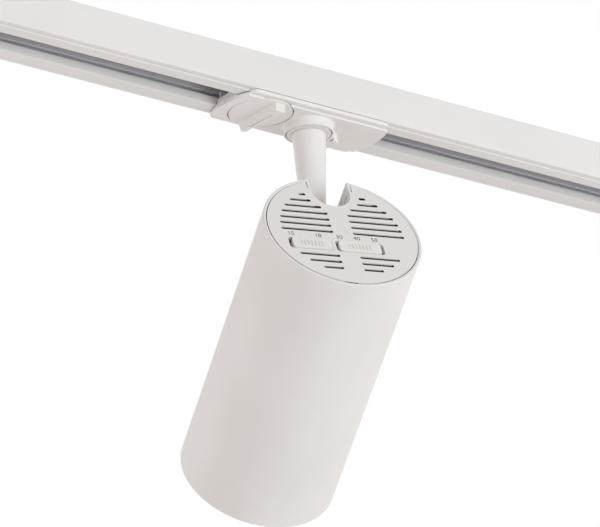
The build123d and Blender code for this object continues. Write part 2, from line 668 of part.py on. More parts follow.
# Adapter body: the block in the slot, ribbed at its left end, with an open-topped tower over the stem.
TOWER_X = (BODY_RIGHT - TOWER_LEFT) / 2
TOWER_LENGTH = BODY_RIGHT + TOWER_LEFT
with BuildPart() as adapter_body:
    with BuildSketch(level(COVER_TOP, (BODY_RIGHT - BODY_LEFT) / 2)):
        Rectangle(BODY_LEFT + BODY_RIGHT, 2 * BODY_HALF)
    extrude(amount=BASE_TOP - COVER_TOP)
    with BuildSketch(level(BASE_TOP, -BODY_LEFT + BODY_END_CUT / 2)):
        Rectangle(BODY_END_CUT, 2 * BODY_HALF)
    extrude(amount=-BODY_END_DROP, mode=Mode.SUBTRACT)
    for side in (-1, 1):
        with BuildSketch(level(COVER_TOP, -BODY_LEFT + BODY_RIB_INSET + BODY_RIB_LENGTH / 2)):
            with Locations((0, side * (BODY_HALF - BODY_RIB / 2))):
                Rectangle(BODY_RIB_LENGTH, BODY_RIB)
        extrude(amount=BASE_TOP + BODY_RIB_RISE - COVER_TOP)
    with BuildSketch(level(BASE_TOP, TOWER_X)):
        Rectangle(TOWER_LENGTH, 2 * BODY_HALF)
    extrude(amount=TOWER_TOP - BASE_TOP)
    with BuildSketch(level(TOWER_FLOOR_Z, TOWER_X)):
        Rectangle(TOWER_LENGTH - 2 * TOWER_END_WALL, 2 * TOWER_INNER_HALF)
    extrude(amount=TOWER_TOP - TOWER_FLOOR_Z, mode=Mode.SUBTRACT)
    with BuildSketch(level(COVER_TOP)):
        Circle(NECK_RADIUS + NECK_GAP)
    extrude(amount=TOWER_FLOOR_Z - COVER_TOP, mode=Mode.SUBTRACT)
    with BuildSketch(level(COVER_TOP, LEVER_X)):
        Circle(SHAFT_RADIUS + RUNNING_GAP)
    extrude(amount=BASE_TOP - COVER_TOP, mode=Mode.SUBTRACT)
    with BuildSketch(level(COVER_TOP)):
        with Locations(*[(x, 0) for x in COVER_SCREWS]):
            Circle(SMALL_SCREW_RADIUS + RUNNING_GAP)
    extrude(amount=TOWER_FLOOR_Z - COVER_TOP, mode=Mode.SUBTRACT)
save(adapter_body, "adapter_body")

with BuildPart() as adapter_lid:
    with BuildSketch(level(TOWER_TOP, TOWER_X)):
        Rectangle(TOWER_LENGTH, 2 * BODY_HALF)
    extrude(amount=LID_THICKNESS)
    fillet(adapter_lid.edges().group_by(Axis.Z)[-1], RAIL_EDGE)
save(adapter_lid, "adapter_lid")

# Screws from above that hold the cover to the body.
with BuildPart() as adapter_screws:
    for x, seat in zip(COVER_SCREWS, COVER_SCREW_SEATS):
        length = seat - COVER_TOP + COVER_SCREW_BITE
        place = level(seat, x)
        add(screw(place, SMALL_SCREW_RADIUS, length, SMALL_SCREW_HEAD_RADIUS, SMALL_SCREW_HEAD_HEIGHT))
save(adapter_screws, "adapter_screws")

with BuildPart() as wire_terminal:
    with BuildSketch(level(TOWER_FLOOR_Z, WIRE_TERMINAL_X)):
        Rectangle(WIRE_TERMINAL_LENGTH, WIRE_TERMINAL_WIDTH)
    extrude(amount=WIRE_TERMINAL_HEIGHT)
    with BuildSketch(level(TOWER_FLOOR_Z + WIRE_TERMINAL_HEIGHT, WIRE_TERMINAL_X)):
        with GridLocations(WIRE_TERMINAL_PITCH, 1, TERMINAL_WAYS, 1):
            Circle(TERMINAL_SCREW_RADIUS)
    extrude(amount=-WIRE_TERMINAL_HOLE, mode=Mode.SUBTRACT)
save(wire_terminal, "wire_terminal")

# Bowed earth spring on the lid, which rubs along the roof of the track.
SPRING_FOOT = TOWER_TOP + LID_THICKNESS
SPRING_CREST = ROOF_UNDER - SLIDE_GAP - SPRING_THICKNESS
with BuildPart() as earth_spring:
    with BuildSketch(Plane.XZ.offset(-SPRING_WIDTH / 2)):
        with BuildLine():
            lower = [
                (SPRING_X - SPRING_LENGTH / 2, SPRING_FOOT),
                (SPRING_X - SPRING_BOW / 2, SPRING_FOOT),
                (SPRING_X - SPRING_FLAT / 2, SPRING_CREST),
                (SPRING_X + SPRING_FLAT / 2, SPRING_CREST),
                (SPRING_X + SPRING_BOW / 2, SPRING_FOOT),
                (SPRING_X + SPRING_LENGTH / 2, SPRING_FOOT),
            ]
            upper = [(x, z + SPRING_THICKNESS) for x, z in reversed(lower)]
            Polyline(*lower, *upper, close=True)
        make_face()
    extrude(amount=SPRING_WIDTH)
save(earth_spring, "earth_spring")

# Lever knob: a disc flush with the cover, a thumb bar across it, and a shaft with a square tenon.
BAR_CREST = COVER_BOTTOM - BAR_HEIGHT
BAR_NEAR = DISC_RADIUS - BAR_NEAR_INSET
BAR_FAR = DISC_RADIUS - BAR_FAR_INSET
with BuildPart() as thumb_bar:
    for y, root, ridge, crest, right in (
        (-BAR_NEAR, BAR_ROOT_NEAR, BAR_RIDGE_NEAR, BAR_CREST_NEAR, BAR_RIGHT_NEAR),
        (BAR_FAR - BAR_FLARE, BAR_ROOT_WAIST, BAR_RIDGE_WAIST, BAR_CREST_WAIST, BAR_RIGHT_WAIST),
        (BAR_FAR, BAR_ROOT_FAR, BAR_RIDGE_FAR, BAR_CREST_FAR, BAR_RIGHT_FAR),
    ):
        with BuildSketch(Plane(origin=(LEVER_X, y, 0), x_dir=(1, 0, 0), z_dir=(0, -1, 0))):
            with BuildLine():
                Polyline(
                    (root, COVER_BOTTOM),
                    (ridge, BAR_CREST),
                    (crest, BAR_CREST),
                    (right, COVER_BOTTOM),
                    close=True,
                )
            make_face()
    loft(ruled=True)
    far_edges = thumb_bar.edges().filter_by(lambda e: e.center().Y > BAR_FAR - RUNNING_GAP)
    fillet(far_edges.sort_by(Axis.X)[0], BAR_TIP_LEFT)
    far_edges = thumb_bar.edges().filter_by(lambda e: e.center().Y > BAR_FAR - RUNNING_GAP)
    fillet(far_edges.sort_by(Axis.X)[-1], BAR_TIP_RIGHT)
    with BuildSketch(level(BAR_CREST, LEVER_X)):
        with Locations((BAR_GROOVE_X, BAR_GROOVE_Y)):
            SlotOverall(BAR_GROOVE_LENGTH, BAR_GROOVE_WIDTH, rotation=BAR_GROOVE_TURN)
    extrude(amount=BAR_GROOVE_DEPTH, mode=Mode.SUBTRACT)

with BuildPart() as lever_knob:
    with BuildSketch(level(COVER_BOTTOM, LEVER_X)):
        Circle(DISC_RADIUS)
    extrude(amount=DISC_THICKNESS)
    fillet(lever_knob.edges().group_by(Axis.Z)[0], COLLAR_EDGE)
    add(thumb_bar.part)
    with BuildSketch(level(DISC_TOP, LEVER_X)):
        Circle(SHAFT_RADIUS)
    extrude(amount=LOCK_BOTTOM - DISC_TOP)
    with BuildSketch(level(LOCK_BOTTOM, LEVER_X)):
        Rectangle(TENON_LENGTH, TENON_WIDTH)
    extrude(amount=LOCK_THICKNESS)
    with BuildSketch(level(LOCK_TOP, LEVER_X)):
        Circle(SMALL_SCREW_RADIUS + RUNNING_GAP)
    extrude(amount=-LEVER_SCREW_BITE, mode=Mode.SUBTRACT)
save(lever_knob, "lever_knob")

# Locking lug: a steel bar that reaches over both flanges of the track, rounded about the lever's axis.
LOCK_REACH = INSULATOR_FACE - LOCK_GAP
with BuildPart() as locking_lug:
    with BuildSketch(level(LOCK_BOTTOM, LEVER_X)):
        Circle(LOCK_REACH)
        Rectangle(LOCK_WIDTH, 2 * LOCK_REACH, mode=Mode.INTERSECT)
        Rectangle(TENON_LENGTH + 2 * RUNNING_GAP, TENON_WIDTH + 2 * RUNNING_GAP, mode=Mode.SUBTRACT)
    extrude(amount=LOCK_THICKNESS)
save(locking_lug, "locking_lug")

# Rotor that carries the two contact blades.
BLADE_REACH = CONDUCTOR_FACE - BLADE_GAP
BLADE_BOTTOM = CONDUCTOR_Z - BLADE_THICKNESS / 2
ROTOR_TOP = LOCK_TOP + ROTOR_HEIGHT
with BuildPart() as rotor:
    with BuildSketch(level(LOCK_TOP, LEVER_X)):
        Circle(ROTOR_RADIUS)
    extrude(amount=ROTOR_HEIGHT)
    fillet(rotor.edges().group_by(Axis.Z)[-1], ROTOR_EDGE)
    with BuildSketch(level(BLADE_BOTTOM, LEVER_X)):
        Rectangle(BLADE_WIDTH, 2 * ROTOR_RADIUS)
        Rectangle(BLADE_WIDTH, 2 * BLADE_ROOT, mode=Mode.SUBTRACT)
    extrude(amount=BLADE_THICKNESS, mode=Mode.SUBTRACT)
    with BuildSketch(level(LOCK_TOP, LEVER_X)):
        Circle(SMALL_SCREW_RADIUS + RUNNING_GAP)
    extrude(amount=ROTOR_HEIGHT, mode=Mode.SUBTRACT)
save(rotor, "rotor")

with BuildPart() as contact_blades:
    with BuildSketch(level(BLADE_BOTTOM, LEVER_X)):
        Circle(BLADE_REACH)
        Rectangle(BLADE_WIDTH, 2 * BLADE_REACH, mode=Mode.INTERSECT)
        Rectangle(BLADE_WIDTH, 2 * BLADE_ROOT, mode=Mode.SUBTRACT)
    extrude(amount=BLADE_THICKNESS)
save(contact_blades, "contact_blades")

with BuildPart() as lever_screw:
    length = ROTOR_HEIGHT + LEVER_SCREW_BITE
    rotor_top = level(ROTOR_TOP, LEVER_X)
    add(screw(rotor_top, SMALL_SCREW_RADIUS, length, SMALL_SCREW_HEAD_RADIUS, SMALL_SCREW_HEAD_HEIGHT))
save(lever_screw, "lever_screw")

# Directions of the lamp head: which way it faces, its upper side, and the tilt axis.
PAN = radians(PAN_ANGLE)
TILT = radians(TILT_ANGLE)
FACING = Vector(cos(PAN), sin(PAN), 0)
TILT_AXIS = Vector(sin(PAN), -cos(PAN), 0)
BEAM = Vector(sin(TILT) * cos(PAN), sin(TILT) * sin(PAN), -cos(TILT))
UPPER = Vector(cos(TILT) * cos(PAN), cos(TILT) * sin(PAN), sin(TILT))
PIVOT_Z = -PIVOT_DROP
PIVOT = Vector(0, 0, PIVOT_Z)
HEAD_ORIGIN = PIVOT - UPPER * PIVOT_OFFSET - BEAM * PIVOT_DEPTH
SECTION = Plane(origin=HEAD_ORIGIN, x_dir=TILT_AXIS, z_dir=UPPER)
SIDE_VIEW = Plane(origin=HEAD_ORIGIN, x_dir=BEAM, z_dir=TILT_AXIS)


def across(depth, x=0.0, up=0.0):
    """A plane across the lamp head at a depth from its rear rim, facing back."""
    origin = HEAD_ORIGIN + BEAM * depth + TILT_AXIS * x + UPPER * up
    return Plane(origin=origin, x_dir=TILT_AXIS, z_dir=-BEAM)


def ahead(depth, x=0.0, up=0.0):
    """The same plane, facing the way the lamp shines."""
    origin = HEAD_ORIGIN + BEAM * depth + TILT_AXIS * x + UPPER * up
    return Plane(origin=origin, x_dir=TILT_AXIS, z_dir=BEAM)


# Stem: a neck through the adapter, a flange in the collar, and a tapered tube down to the pivot eye.
NECK_TOP = TOWER_FLOOR_Z + NECK_STICKOUT
FLANGE_RADIUS = COLLAR_BORE - FLANGE_GAP
FLANGE_BOTTOM = COLLAR_FLOOR - FLANGE_THICKNESS
with BuildPart() as stem:
    with BuildSketch(Plane.XZ):
        with BuildLine():
            Polyline(
                (0, NECK_TOP),
                (NECK_RADIUS, NECK_TOP),
                (NECK_RADIUS, COLLAR_FLOOR),
                (FLANGE_RADIUS, COLLAR_FLOOR),
                (FLANGE_RADIUS, FLANGE_BOTTOM),
                (STEM_TOP_RADIUS - STEM_UNDERCUT, FLANGE_BOTTOM),
                (STEM_TOP_RADIUS - STEM_UNDERCUT, FLANGE_BOTTOM - STEM_SHOULDER),
                (STEM_TOP_RADIUS, FLANGE_BOTTOM - STEM_SHOULDER),
                (STEM_FOOT_RADIUS, PIVOT_Z + STEM_FOOT_RISE),
                (STEM_FOOT_RADIUS, PIVOT_Z),
                (0, PIVOT_Z),
                close=True,
            )
        make_face()
    revolve(axis=Axis.Z)
    with BuildSketch(Plane(origin=(0, 0, PIVOT_Z + EYE_FLAT_RISE), x_dir=TILT_AXIS, z_dir=(0, 0, 1))):
        with GridLocations(EYE_THICKNESS + EYE_RADIUS, 1, 2, 1):
            Rectangle(EYE_RADIUS, 2 * STEM_TOP_RADIUS)
    extrude(amount=-EYE_FLAT_RISE, mode=Mode.SUBTRACT)
    with BuildSketch(Plane(origin=PIVOT, x_dir=FACING, z_dir=TILT_AXIS)):
        Circle(EYE_RADIUS)
    extrude(amount=EYE_THICKNESS / 2, both=True)
    with BuildSketch(Plane(origin=PIVOT, x_dir=FACING, z_dir=TILT_AXIS)):
        Circle(BOLT_RADIUS + RUNNING_GAP)
    extrude(amount=EYE_THICKNESS / 2, both=True, mode=Mode.SUBTRACT)
    with BuildSketch(level(PIVOT_Z + WIRE_EXIT_RISE)):
        Circle(STEM_BORE)
    extrude(amount=NECK_TOP - PIVOT_Z - WIRE_EXIT_RISE, mode=Mode.SUBTRACT)
    with BuildSketch(Plane(origin=(0, 0, PIVOT_Z + WIRE_EXIT_RISE), x_dir=TILT_AXIS, z_dir=FACING)):
        Circle(WIRE_EXIT_RADIUS)
    extrude(amount=STEM_TOP_RADIUS, mode=Mode.SUBTRACT)
save(stem, "stem")

# Washer and slotted nut that hold the stem's neck in the adapter.
with BuildPart() as pan_washer:
    with BuildSketch(level(TOWER_FLOOR_Z)):
        Circle(PAN_NUT_RADIUS)
        Circle(NECK_RADIUS + NECK_GAP, mode=Mode.SUBTRACT)
    extrude(amount=PAN_WASHER)
save(pan_washer, "pan_washer")

with BuildPart() as pan_nut:
    with BuildSketch(level(TOWER_FLOOR_Z + PAN_WASHER)):
        Circle(PAN_NUT_RADIUS)
        Circle(NECK_RADIUS + RUNNING_GAP, mode=Mode.SUBTRACT)
    extrude(amount=PAN_NUT_HEIGHT)
    with BuildSketch(level(TOWER_FLOOR_Z + PAN_WASHER + PAN_NUT_HEIGHT)):
        Rectangle(2 * PAN_NUT_RADIUS, NUT_SLOT)
        Rectangle(NUT_SLOT, 2 * PAN_NUT_RADIUS)
    extrude(amount=-NUT_SLOT, mode=Mode.SUBTRACT)
save(pan_nut, "pan_nut")

# Head housing: a plain tube, slotted at the top of its rear end for the stem, with two inner ledges.
MID_LEDGE_DEPTH = CHASSIS_DEPTH + CHASSIS_THICKNESS
SINK_DEPTH = MID_LEDGE_DEPTH + MID_LEDGE_THICKNESS
RIB_OUTER = NOTCH_HALF + NOTCH_RIB
RIB_START = HEAD_BORE - NOTCH_RIB_DEPTH
with BuildPart() as head_housing:
    with BuildSketch(across(HEAD_LENGTH)):
        Circle(HEAD_RADIUS)
        Circle(HEAD_BORE, mode=Mode.SUBTRACT)
    extrude(amount=HEAD_LENGTH)
    chamfer(head_housing.edges().filter_by(GeomType.CIRCLE), HEAD_EDGE)
    with BuildSketch(across(CAP_THICKNESS + CAP_LEDGE_THICKNESS)):
        Circle(HEAD_BORE)
        Circle(HEAD_BORE - CAP_LEDGE, mode=Mode.SUBTRACT)
    extrude(amount=CAP_LEDGE_THICKNESS)
    with BuildSketch(across(SINK_DEPTH)):
        Circle(HEAD_BORE)
        Circle(HEAD_BORE - MID_LEDGE, mode=Mode.SUBTRACT)
    extrude(amount=MID_LEDGE_THICKNESS)
    with BuildSketch(across(NOTCH_RIB_LENGTH)):
        Circle(HEAD_BORE)
        with Locations((0, RIB_START + HEAD_BORE / 2)):
            Rectangle(2 * RIB_OUTER, HEAD_BORE, mode=Mode.INTERSECT)
    extrude(amount=NOTCH_RIB_LENGTH)
    with BuildSketch(SECTION):
        with Locations((0, PIVOT_DEPTH)):
            Circle(NOTCH_HALF)
        with Locations((0, PIVOT_DEPTH / 2)):
            Rectangle(2 * NOTCH_HALF, PIVOT_DEPTH)
    extrude(amount=HEAD_RADIUS, mode=Mode.SUBTRACT)
save(head_housing, "head_housing")

# Rear cap: a disc in the tube's end, notched for the stem, with vent slots and two switch windows.
# A skirt behind the notch hides the inside of the head.
CAP_RADIUS = HEAD_BORE - CAP_GAP
SKIRT_TOP = RIB_START - CAP_GAP
CAP_FRONT = CAP_THICKNESS
VENT_REACH = CAP_RADIUS - VENT_MARGIN
LEG_FACE = HEAD_BORE - CAP_LEDGE - LOOSE_GAP
POST_LEFT = -sqrt((LEG_FACE - POST_RADIUS) ** 2 - SWITCH_B**2)
POST_RIGHT = COLOUR_RIGHT + POST_ROOM
POST_SPAN = POST_RIGHT - POST_LEFT
POWER_LEFT = POST_LEFT + POST_ROOM
POWER_X = (POWER_LEFT + POWER_RIGHT) / 2
COLOUR_X = (COLOUR_LEFT + COLOUR_RIGHT) / 2
BOARD_X = (POST_LEFT + POST_RIGHT) / 2
LIP_DEPTH = CAP_FRONT + SLIDER_GAP
LIP_END = LIP_DEPTH + SLIDER_LIP_THICKNESS
SWITCH_FACE = LIP_END + SWITCH_BODY_GAP
BOARD_DEPTH = SWITCH_FACE + SWITCH_BODY_DEPTH
HOOK_DEPTH = CAP_FRONT + CAP_LEDGE_THICKNESS + LOOSE_GAP
vent_rows = [VENT_TOP_START + row * VENT_PITCH for row in range(VENT_TOP_ROWS)]
vent_rows += [VENT_LOW_START - row * VENT_PITCH for row in range(VENT_LOW_ROWS)]
with BuildPart() as rear_cap:
    with BuildSketch(across(CAP_FRONT)):
        Circle(CAP_RADIUS)
        with Locations((0, PIVOT_OFFSET)):
            Circle(NOTCH_HALF, mode=Mode.SUBTRACT)
        with Locations((0, PIVOT_OFFSET + HEAD_BORE / 2)):
            Rectangle(2 * NOTCH_HALF, HEAD_BORE, mode=Mode.SUBTRACT)
        with Locations((0, SKIRT_TOP + HEAD_BORE / 2)):
            Rectangle(2 * (RIB_OUTER + CAP_GAP), HEAD_BORE, mode=Mode.SUBTRACT)
    extrude(amount=CAP_THICKNESS)
    with BuildSketch(across(CAP_FRONT + CAP_SKIRT)):
        with Locations((0, PIVOT_OFFSET)):
            Circle(RIB_OUTER)
        with Locations((0, (PIVOT_OFFSET + SKIRT_TOP) / 2)):
            Rectangle(2 * RIB_OUTER, SKIRT_TOP - PIVOT_OFFSET)
        with Locations((0, SKIRT_TOP + HEAD_BORE / 2)):
            Rectangle(2 * RIB_OUTER, HEAD_BORE, mode=Mode.SUBTRACT)
        with Locations((0, PIVOT_OFFSET)):
            Circle(NOTCH_HALF, mode=Mode.SUBTRACT)
        with Locations((0, PIVOT_OFFSET + HEAD_BORE / 2)):
            Rectangle(2 * NOTCH_HALF, HEAD_BORE, mode=Mode.SUBTRACT)
    extrude(amount=CAP_SKIRT)
    with BuildSketch(across(CAP_FRONT)):
        for row in vent_rows:
            vent_end = sqrt(max(VENT_REACH**2 - row**2, 0))
            notch_reach = NOTCH_HALF + VENT_NOTCH_MARGIN
            beside_notch = max(notch_reach**2 - (PIVOT_OFFSET - row) ** 2, 0)
            vent_start = max(VENT_MIDDLE, sqrt(beside_notch))
            if vent_end - vent_start > VENT_SHORTEST:
                for side in (-1, 1):
                    with Locations((side * (vent_start + vent_end) / 2, row)):
                        SlotOverall(vent_end - vent_start, VENT_WIDTH)
        with Locations((POWER_X, SWITCH_B)):
            RectangleRounded(POWER_RIGHT - POWER_LEFT, SWITCH_HEIGHT, SWITCH_CORNER)
        with Locations((COLOUR_X, SWITCH_B)):
            RectangleRounded(COLOUR_RIGHT - COLOUR_LEFT, SWITCH_HEIGHT, SWITCH_CORNER)
    extrude(amount=CAP_THICKNESS, mode=Mode.SUBTRACT)
    with BuildSketch(across(BOARD_DEPTH, BOARD_X, SWITCH_B)):
        with GridLocations(POST_SPAN, 1, 2, 1):
            Circle(POST_RADIUS)
    extrude(amount=BOARD_DEPTH - CAP_FRONT)
    with BuildSketch(across(BOARD_DEPTH, BOARD_X, SWITCH_B)):
        with GridLocations(POST_SPAN, 1, 2, 1):
            Circle(SMALL_SCREW_RADIUS + RUNNING_GAP)
    extrude(amount=POST_HOLE, mode=Mode.SUBTRACT)
    for depth, length, reach in (
        (CAP_FRONT + CAP_LEG_LENGTH, CAP_LEG_LENGTH, LEG_FACE),
        (HOOK_DEPTH + CAP_HOOK_HEIGHT, CAP_HOOK_HEIGHT, LEG_FACE + CAP_HOOK),
    ):
        with BuildSketch(across(depth)):
            Rectangle(2 * reach, CAP_LEG_WIDTH)
            with Locations((0, -reach / 2)):
                Rectangle(CAP_LEG_WIDTH, reach)
            Circle(reach, mode=Mode.INTERSECT)
            Circle(LEG_FACE - CAP_LEG_THICKNESS, mode=Mode.SUBTRACT)
        extrude(amount=length)
    with BuildSketch(across(0, DIMPLE_X, 0)):
        Circle(DIMPLE_RADIUS)
    extrude(amount=-DIMPLE_DEPTH, mode=Mode.SUBTRACT)
save(rear_cap, "rear_cap")


def slider(middle, length, peg_x):
    """A switch slider in a window of the cap: a ribbed face, a lip behind the cap, and a peg."""
    face_height = SWITCH_HEIGHT - 2 * SLIDER_GAP
    with BuildPart() as piece:
        with BuildSketch(across(LIP_END, middle, SWITCH_B)):
            RectangleRounded(length, face_height, SWITCH_CORNER - SLIDER_GAP)
        extrude(amount=LIP_END + SLIDER_PROUD)
        with BuildSketch(across(-SLIDER_PROUD, middle, SWITCH_B)):
            with GridLocations(SLIDER_RIB_PITCH, 1, SLIDER_RIBS, 1):
                Rectangle(SLIDER_RIB_WIDTH, face_height - 2 * SWITCH_CORNER)
        extrude(amount=SLIDER_RIB_HEIGHT)
        with BuildSketch(across(LIP_END, middle, SWITCH_B)):
            Rectangle(length - 2 * SWITCH_CORNER, SWITCH_HEIGHT + 2 * SLIDER_LIP)
        extrude(amount=SLIDER_LIP_THICKNESS)
        with BuildSketch(across(LIP_END + PEG_LENGTH, peg_x, SWITCH_B)):
            Rectangle(PEG_SIZE, PEG_SIZE)
        extrude(amount=PEG_LENGTH)
    return piece.part


def switch_body(x, travel):
    """A small slide switch on the board, with a slot for a slider's peg to move in."""
    with BuildPart() as piece:
        with BuildSketch(across(BOARD_DEPTH, x, SWITCH_B)):
            Rectangle(SWITCH_BODY_LENGTH, SWITCH_BODY_HEIGHT)
        extrude(amount=SWITCH_BODY_DEPTH)
        with BuildSketch(across(SWITCH_FACE, x, SWITCH_B)):
            Rectangle(PEG_SIZE + travel + 2 * PEG_ROOM, PEG_SIZE + 2 * PEG_ROOM)
        extrude(amount=-(PEG_LENGTH - SWITCH_BODY_GAP + PEG_ROOM), mode=Mode.SUBTRACT)
    return piece.part


# The power slider rests at the right end of its window, the colour slider in the middle.
POWER_SLIDER_LENGTH = POWER_RIGHT - POWER_LEFT - 2 * SLIDER_GAP - POWER_TRAVEL
POWER_SLIDER_X = POWER_X + POWER_TRAVEL / 2
COLOUR_SLIDER_LENGTH = COLOUR_RIGHT - COLOUR_LEFT - 2 * SLIDER_GAP - 2 * COLOUR_TRAVEL
with BuildPart() as power_slider:
    add(slider(POWER_SLIDER_X, POWER_SLIDER_LENGTH, POWER_SLIDER_X))
save(power_slider, "power_slider")

with BuildPart() as colour_slider:
    add(slider(COLOUR_X, COLOUR_SLIDER_LENGTH, COLOUR_X))
save(colour_slider, "colour_slider")

# Switch board on two posts of the cap, with the two switches and its screws.
with BuildPart() as switch_board:
    with BuildSketch(across(BOARD_DEPTH + SWITCH_BOARD, BOARD_X, SWITCH_B)):
        RectangleRounded(POST_SPAN + 2 * BOARD_MARGIN, BOARD_HEIGHT, BOARD_CORNER)
        with GridLocations(POST_SPAN, 1, 2, 1):
            Circle(SMALL_SCREW_RADIUS + RUNNING_GAP, mode=Mode.SUBTRACT)
    extrude(amount=SWITCH_BOARD)
save(switch_board, "switch_board")

with BuildPart() as power_switch:
    add(switch_body(POWER_X, POWER_TRAVEL))
save(power_switch, "power_switch")

with BuildPart() as colour_switch:
    add(switch_body(COLOUR_X, 2 * COLOUR_TRAVEL))
save(colour_switch, "colour_switch")

with BuildPart() as board_screws:
    length = SWITCH_BOARD + POST_HOLE
    for side in (-1, 1):
        seat = ahead(BOARD_DEPTH + SWITCH_BOARD, BOARD_X + side * POST_SPAN / 2, SWITCH_B)
        add(screw(seat, SMALL_SCREW_RADIUS, length, SMALL_SCREW_HEAD_RADIUS, SMALL_SCREW_HEAD_HEIGHT))
save(board_screws, "board_screws")

# Chassis plate against the rear of the middle ledge, held to the heat sink's posts by three screws.
FIT_RADIUS = HEAD_BORE - SINK_GAP
SINK_POST_CIRCLE = HEAD_BORE - SINK_POST_INSET
FOOT_DEPTH = CHASSIS_DEPTH - BRACKET_FOOT
BRACKET_SCREW_X = (CHEEK_OUTER + BRACKET_FOOT_HALF) / 2
with BuildPart() as chassis_plate:
    with BuildSketch(across(MID_LEDGE_DEPTH)):
        Circle(FIT_RADIUS)
        with PolarLocations(SINK_POST_CIRCLE, SINK_POSTS, SINK_POST_ANGLE):
            Circle(SCREW_RADIUS + RUNNING_GAP, mode=Mode.SUBTRACT)
        with Locations((0, CASE_HIGH + WIRE_HOLE)):
            Circle(WIRE_HOLE, mode=Mode.SUBTRACT)
        with Locations((-BRACKET_SCREW_X, PIVOT_OFFSET), (BRACKET_SCREW_X, PIVOT_OFFSET)):
            Circle(SMALL_SCREW_RADIUS + RUNNING_GAP, mode=Mode.SUBTRACT)
    extrude(amount=CHASSIS_THICKNESS)
save(chassis_plate, "chassis_plate")

with BuildPart() as chassis_screws:
    length = CHASSIS_THICKNESS + SINK_SCREW_BITE
    for post in range(SINK_POSTS):
        angle = SINK_POST_ANGLE + post * 360 / SINK_POSTS
        spot = Vector(SINK_POST_CIRCLE, 0).rotate(Axis.Z, angle)
        seat = across(CHASSIS_DEPTH, spot.X, spot.Y)
        add(screw(seat, SCREW_RADIUS, length, SCREW_HEAD_RADIUS, SCREW_HEAD_HEIGHT))
save(chassis_screws, "chassis_screws")

# Pivot bracket: two cheeks either side of the stem's eye, on a foot screwed to the chassis plate.
with BuildPart() as pivot_bracket:
    for side in (-1, 1):
        with BuildSketch(SIDE_VIEW.offset(side * CHEEK_INNER)):
            with Locations((PIVOT_DEPTH, PIVOT_OFFSET)):
                Circle(CHEEK_HALF_WIDTH)
            with Locations(((PIVOT_DEPTH + CHASSIS_DEPTH) / 2, PIVOT_OFFSET)):
                Rectangle(CHASSIS_DEPTH - PIVOT_DEPTH, 2 * CHEEK_HALF_WIDTH)
            with Locations((PIVOT_DEPTH, PIVOT_OFFSET)):
                Circle(BOLT_RADIUS + RUNNING_GAP, mode=Mode.SUBTRACT)
        extrude(amount=side * CHEEK_THICKNESS)
    with BuildSketch(across(CHASSIS_DEPTH)):
        with Locations((0, PIVOT_OFFSET)):
            Rectangle(2 * BRACKET_FOOT_HALF, 2 * CHEEK_HALF_WIDTH)
        Circle(FIT_RADIUS - SINK_GAP, mode=Mode.INTERSECT)
        with Locations((-BRACKET_SCREW_X, PIVOT_OFFSET), (BRACKET_SCREW_X, PIVOT_OFFSET)):
            Circle(SMALL_SCREW_RADIUS + RUNNING_GAP, mode=Mode.SUBTRACT)
    extrude(amount=BRACKET_FOOT)
save(pivot_bracket, "pivot_bracket")

with BuildPart() as bracket_screws:
    length = BRACKET_FOOT + CHASSIS_THICKNESS
    for side in (-1, 1):
        seat = across(FOOT_DEPTH, side * BRACKET_SCREW_X, PIVOT_OFFSET)
        add(screw(seat, SMALL_SCREW_RADIUS, length, SMALL_SCREW_HEAD_RADIUS, SMALL_SCREW_HEAD_HEIGHT))
save(bracket_screws, "bracket_screws")

# Pivot bolt through both cheeks and the eye, its nut, and a friction washer on each side.
with BuildPart() as pivot_bolt:
    with BuildSketch(SIDE_VIEW.offset(CHEEK_OUTER)):
        with Locations((PIVOT_DEPTH, PIVOT_OFFSET)):
            Circle(BOLT_HEAD_RADIUS)
    extrude(amount=BOLT_HEAD_HEIGHT)
    with BuildSketch(SIDE_VIEW.offset(CHEEK_OUTER)):
        with Locations((PIVOT_DEPTH, PIVOT_OFFSET)):
            Circle(BOLT_RADIUS)
    extrude(amount=-2 * CHEEK_OUTER - PIVOT_NUT_HEIGHT)
save(pivot_bolt, "pivot_bolt")

with BuildPart() as pivot_nut:
    with BuildSketch(SIDE_VIEW.offset(-CHEEK_OUTER)):
        with Locations((PIVOT_DEPTH, PIVOT_OFFSET)):
            RegularPolygon(PIVOT_NUT_RADIUS, 6)
            Circle(BOLT_RADIUS + RUNNING_GAP, mode=Mode.SUBTRACT)
    extrude(amount=-PIVOT_NUT_HEIGHT)
save(pivot_nut, "pivot_nut")

with BuildPart() as friction_washers:
    for side in (-1, 1):
        with BuildSketch(SIDE_VIEW.offset(side * CHEEK_INNER)):
            with Locations((PIVOT_DEPTH, PIVOT_OFFSET)):
                Circle(WASHER_RADIUS)
                Circle(BOLT_RADIUS + RUNNING_GAP, mode=Mode.SUBTRACT)
        extrude(amount=-side * WASHER_THICKNESS)
save(friction_washers, "friction_washers")

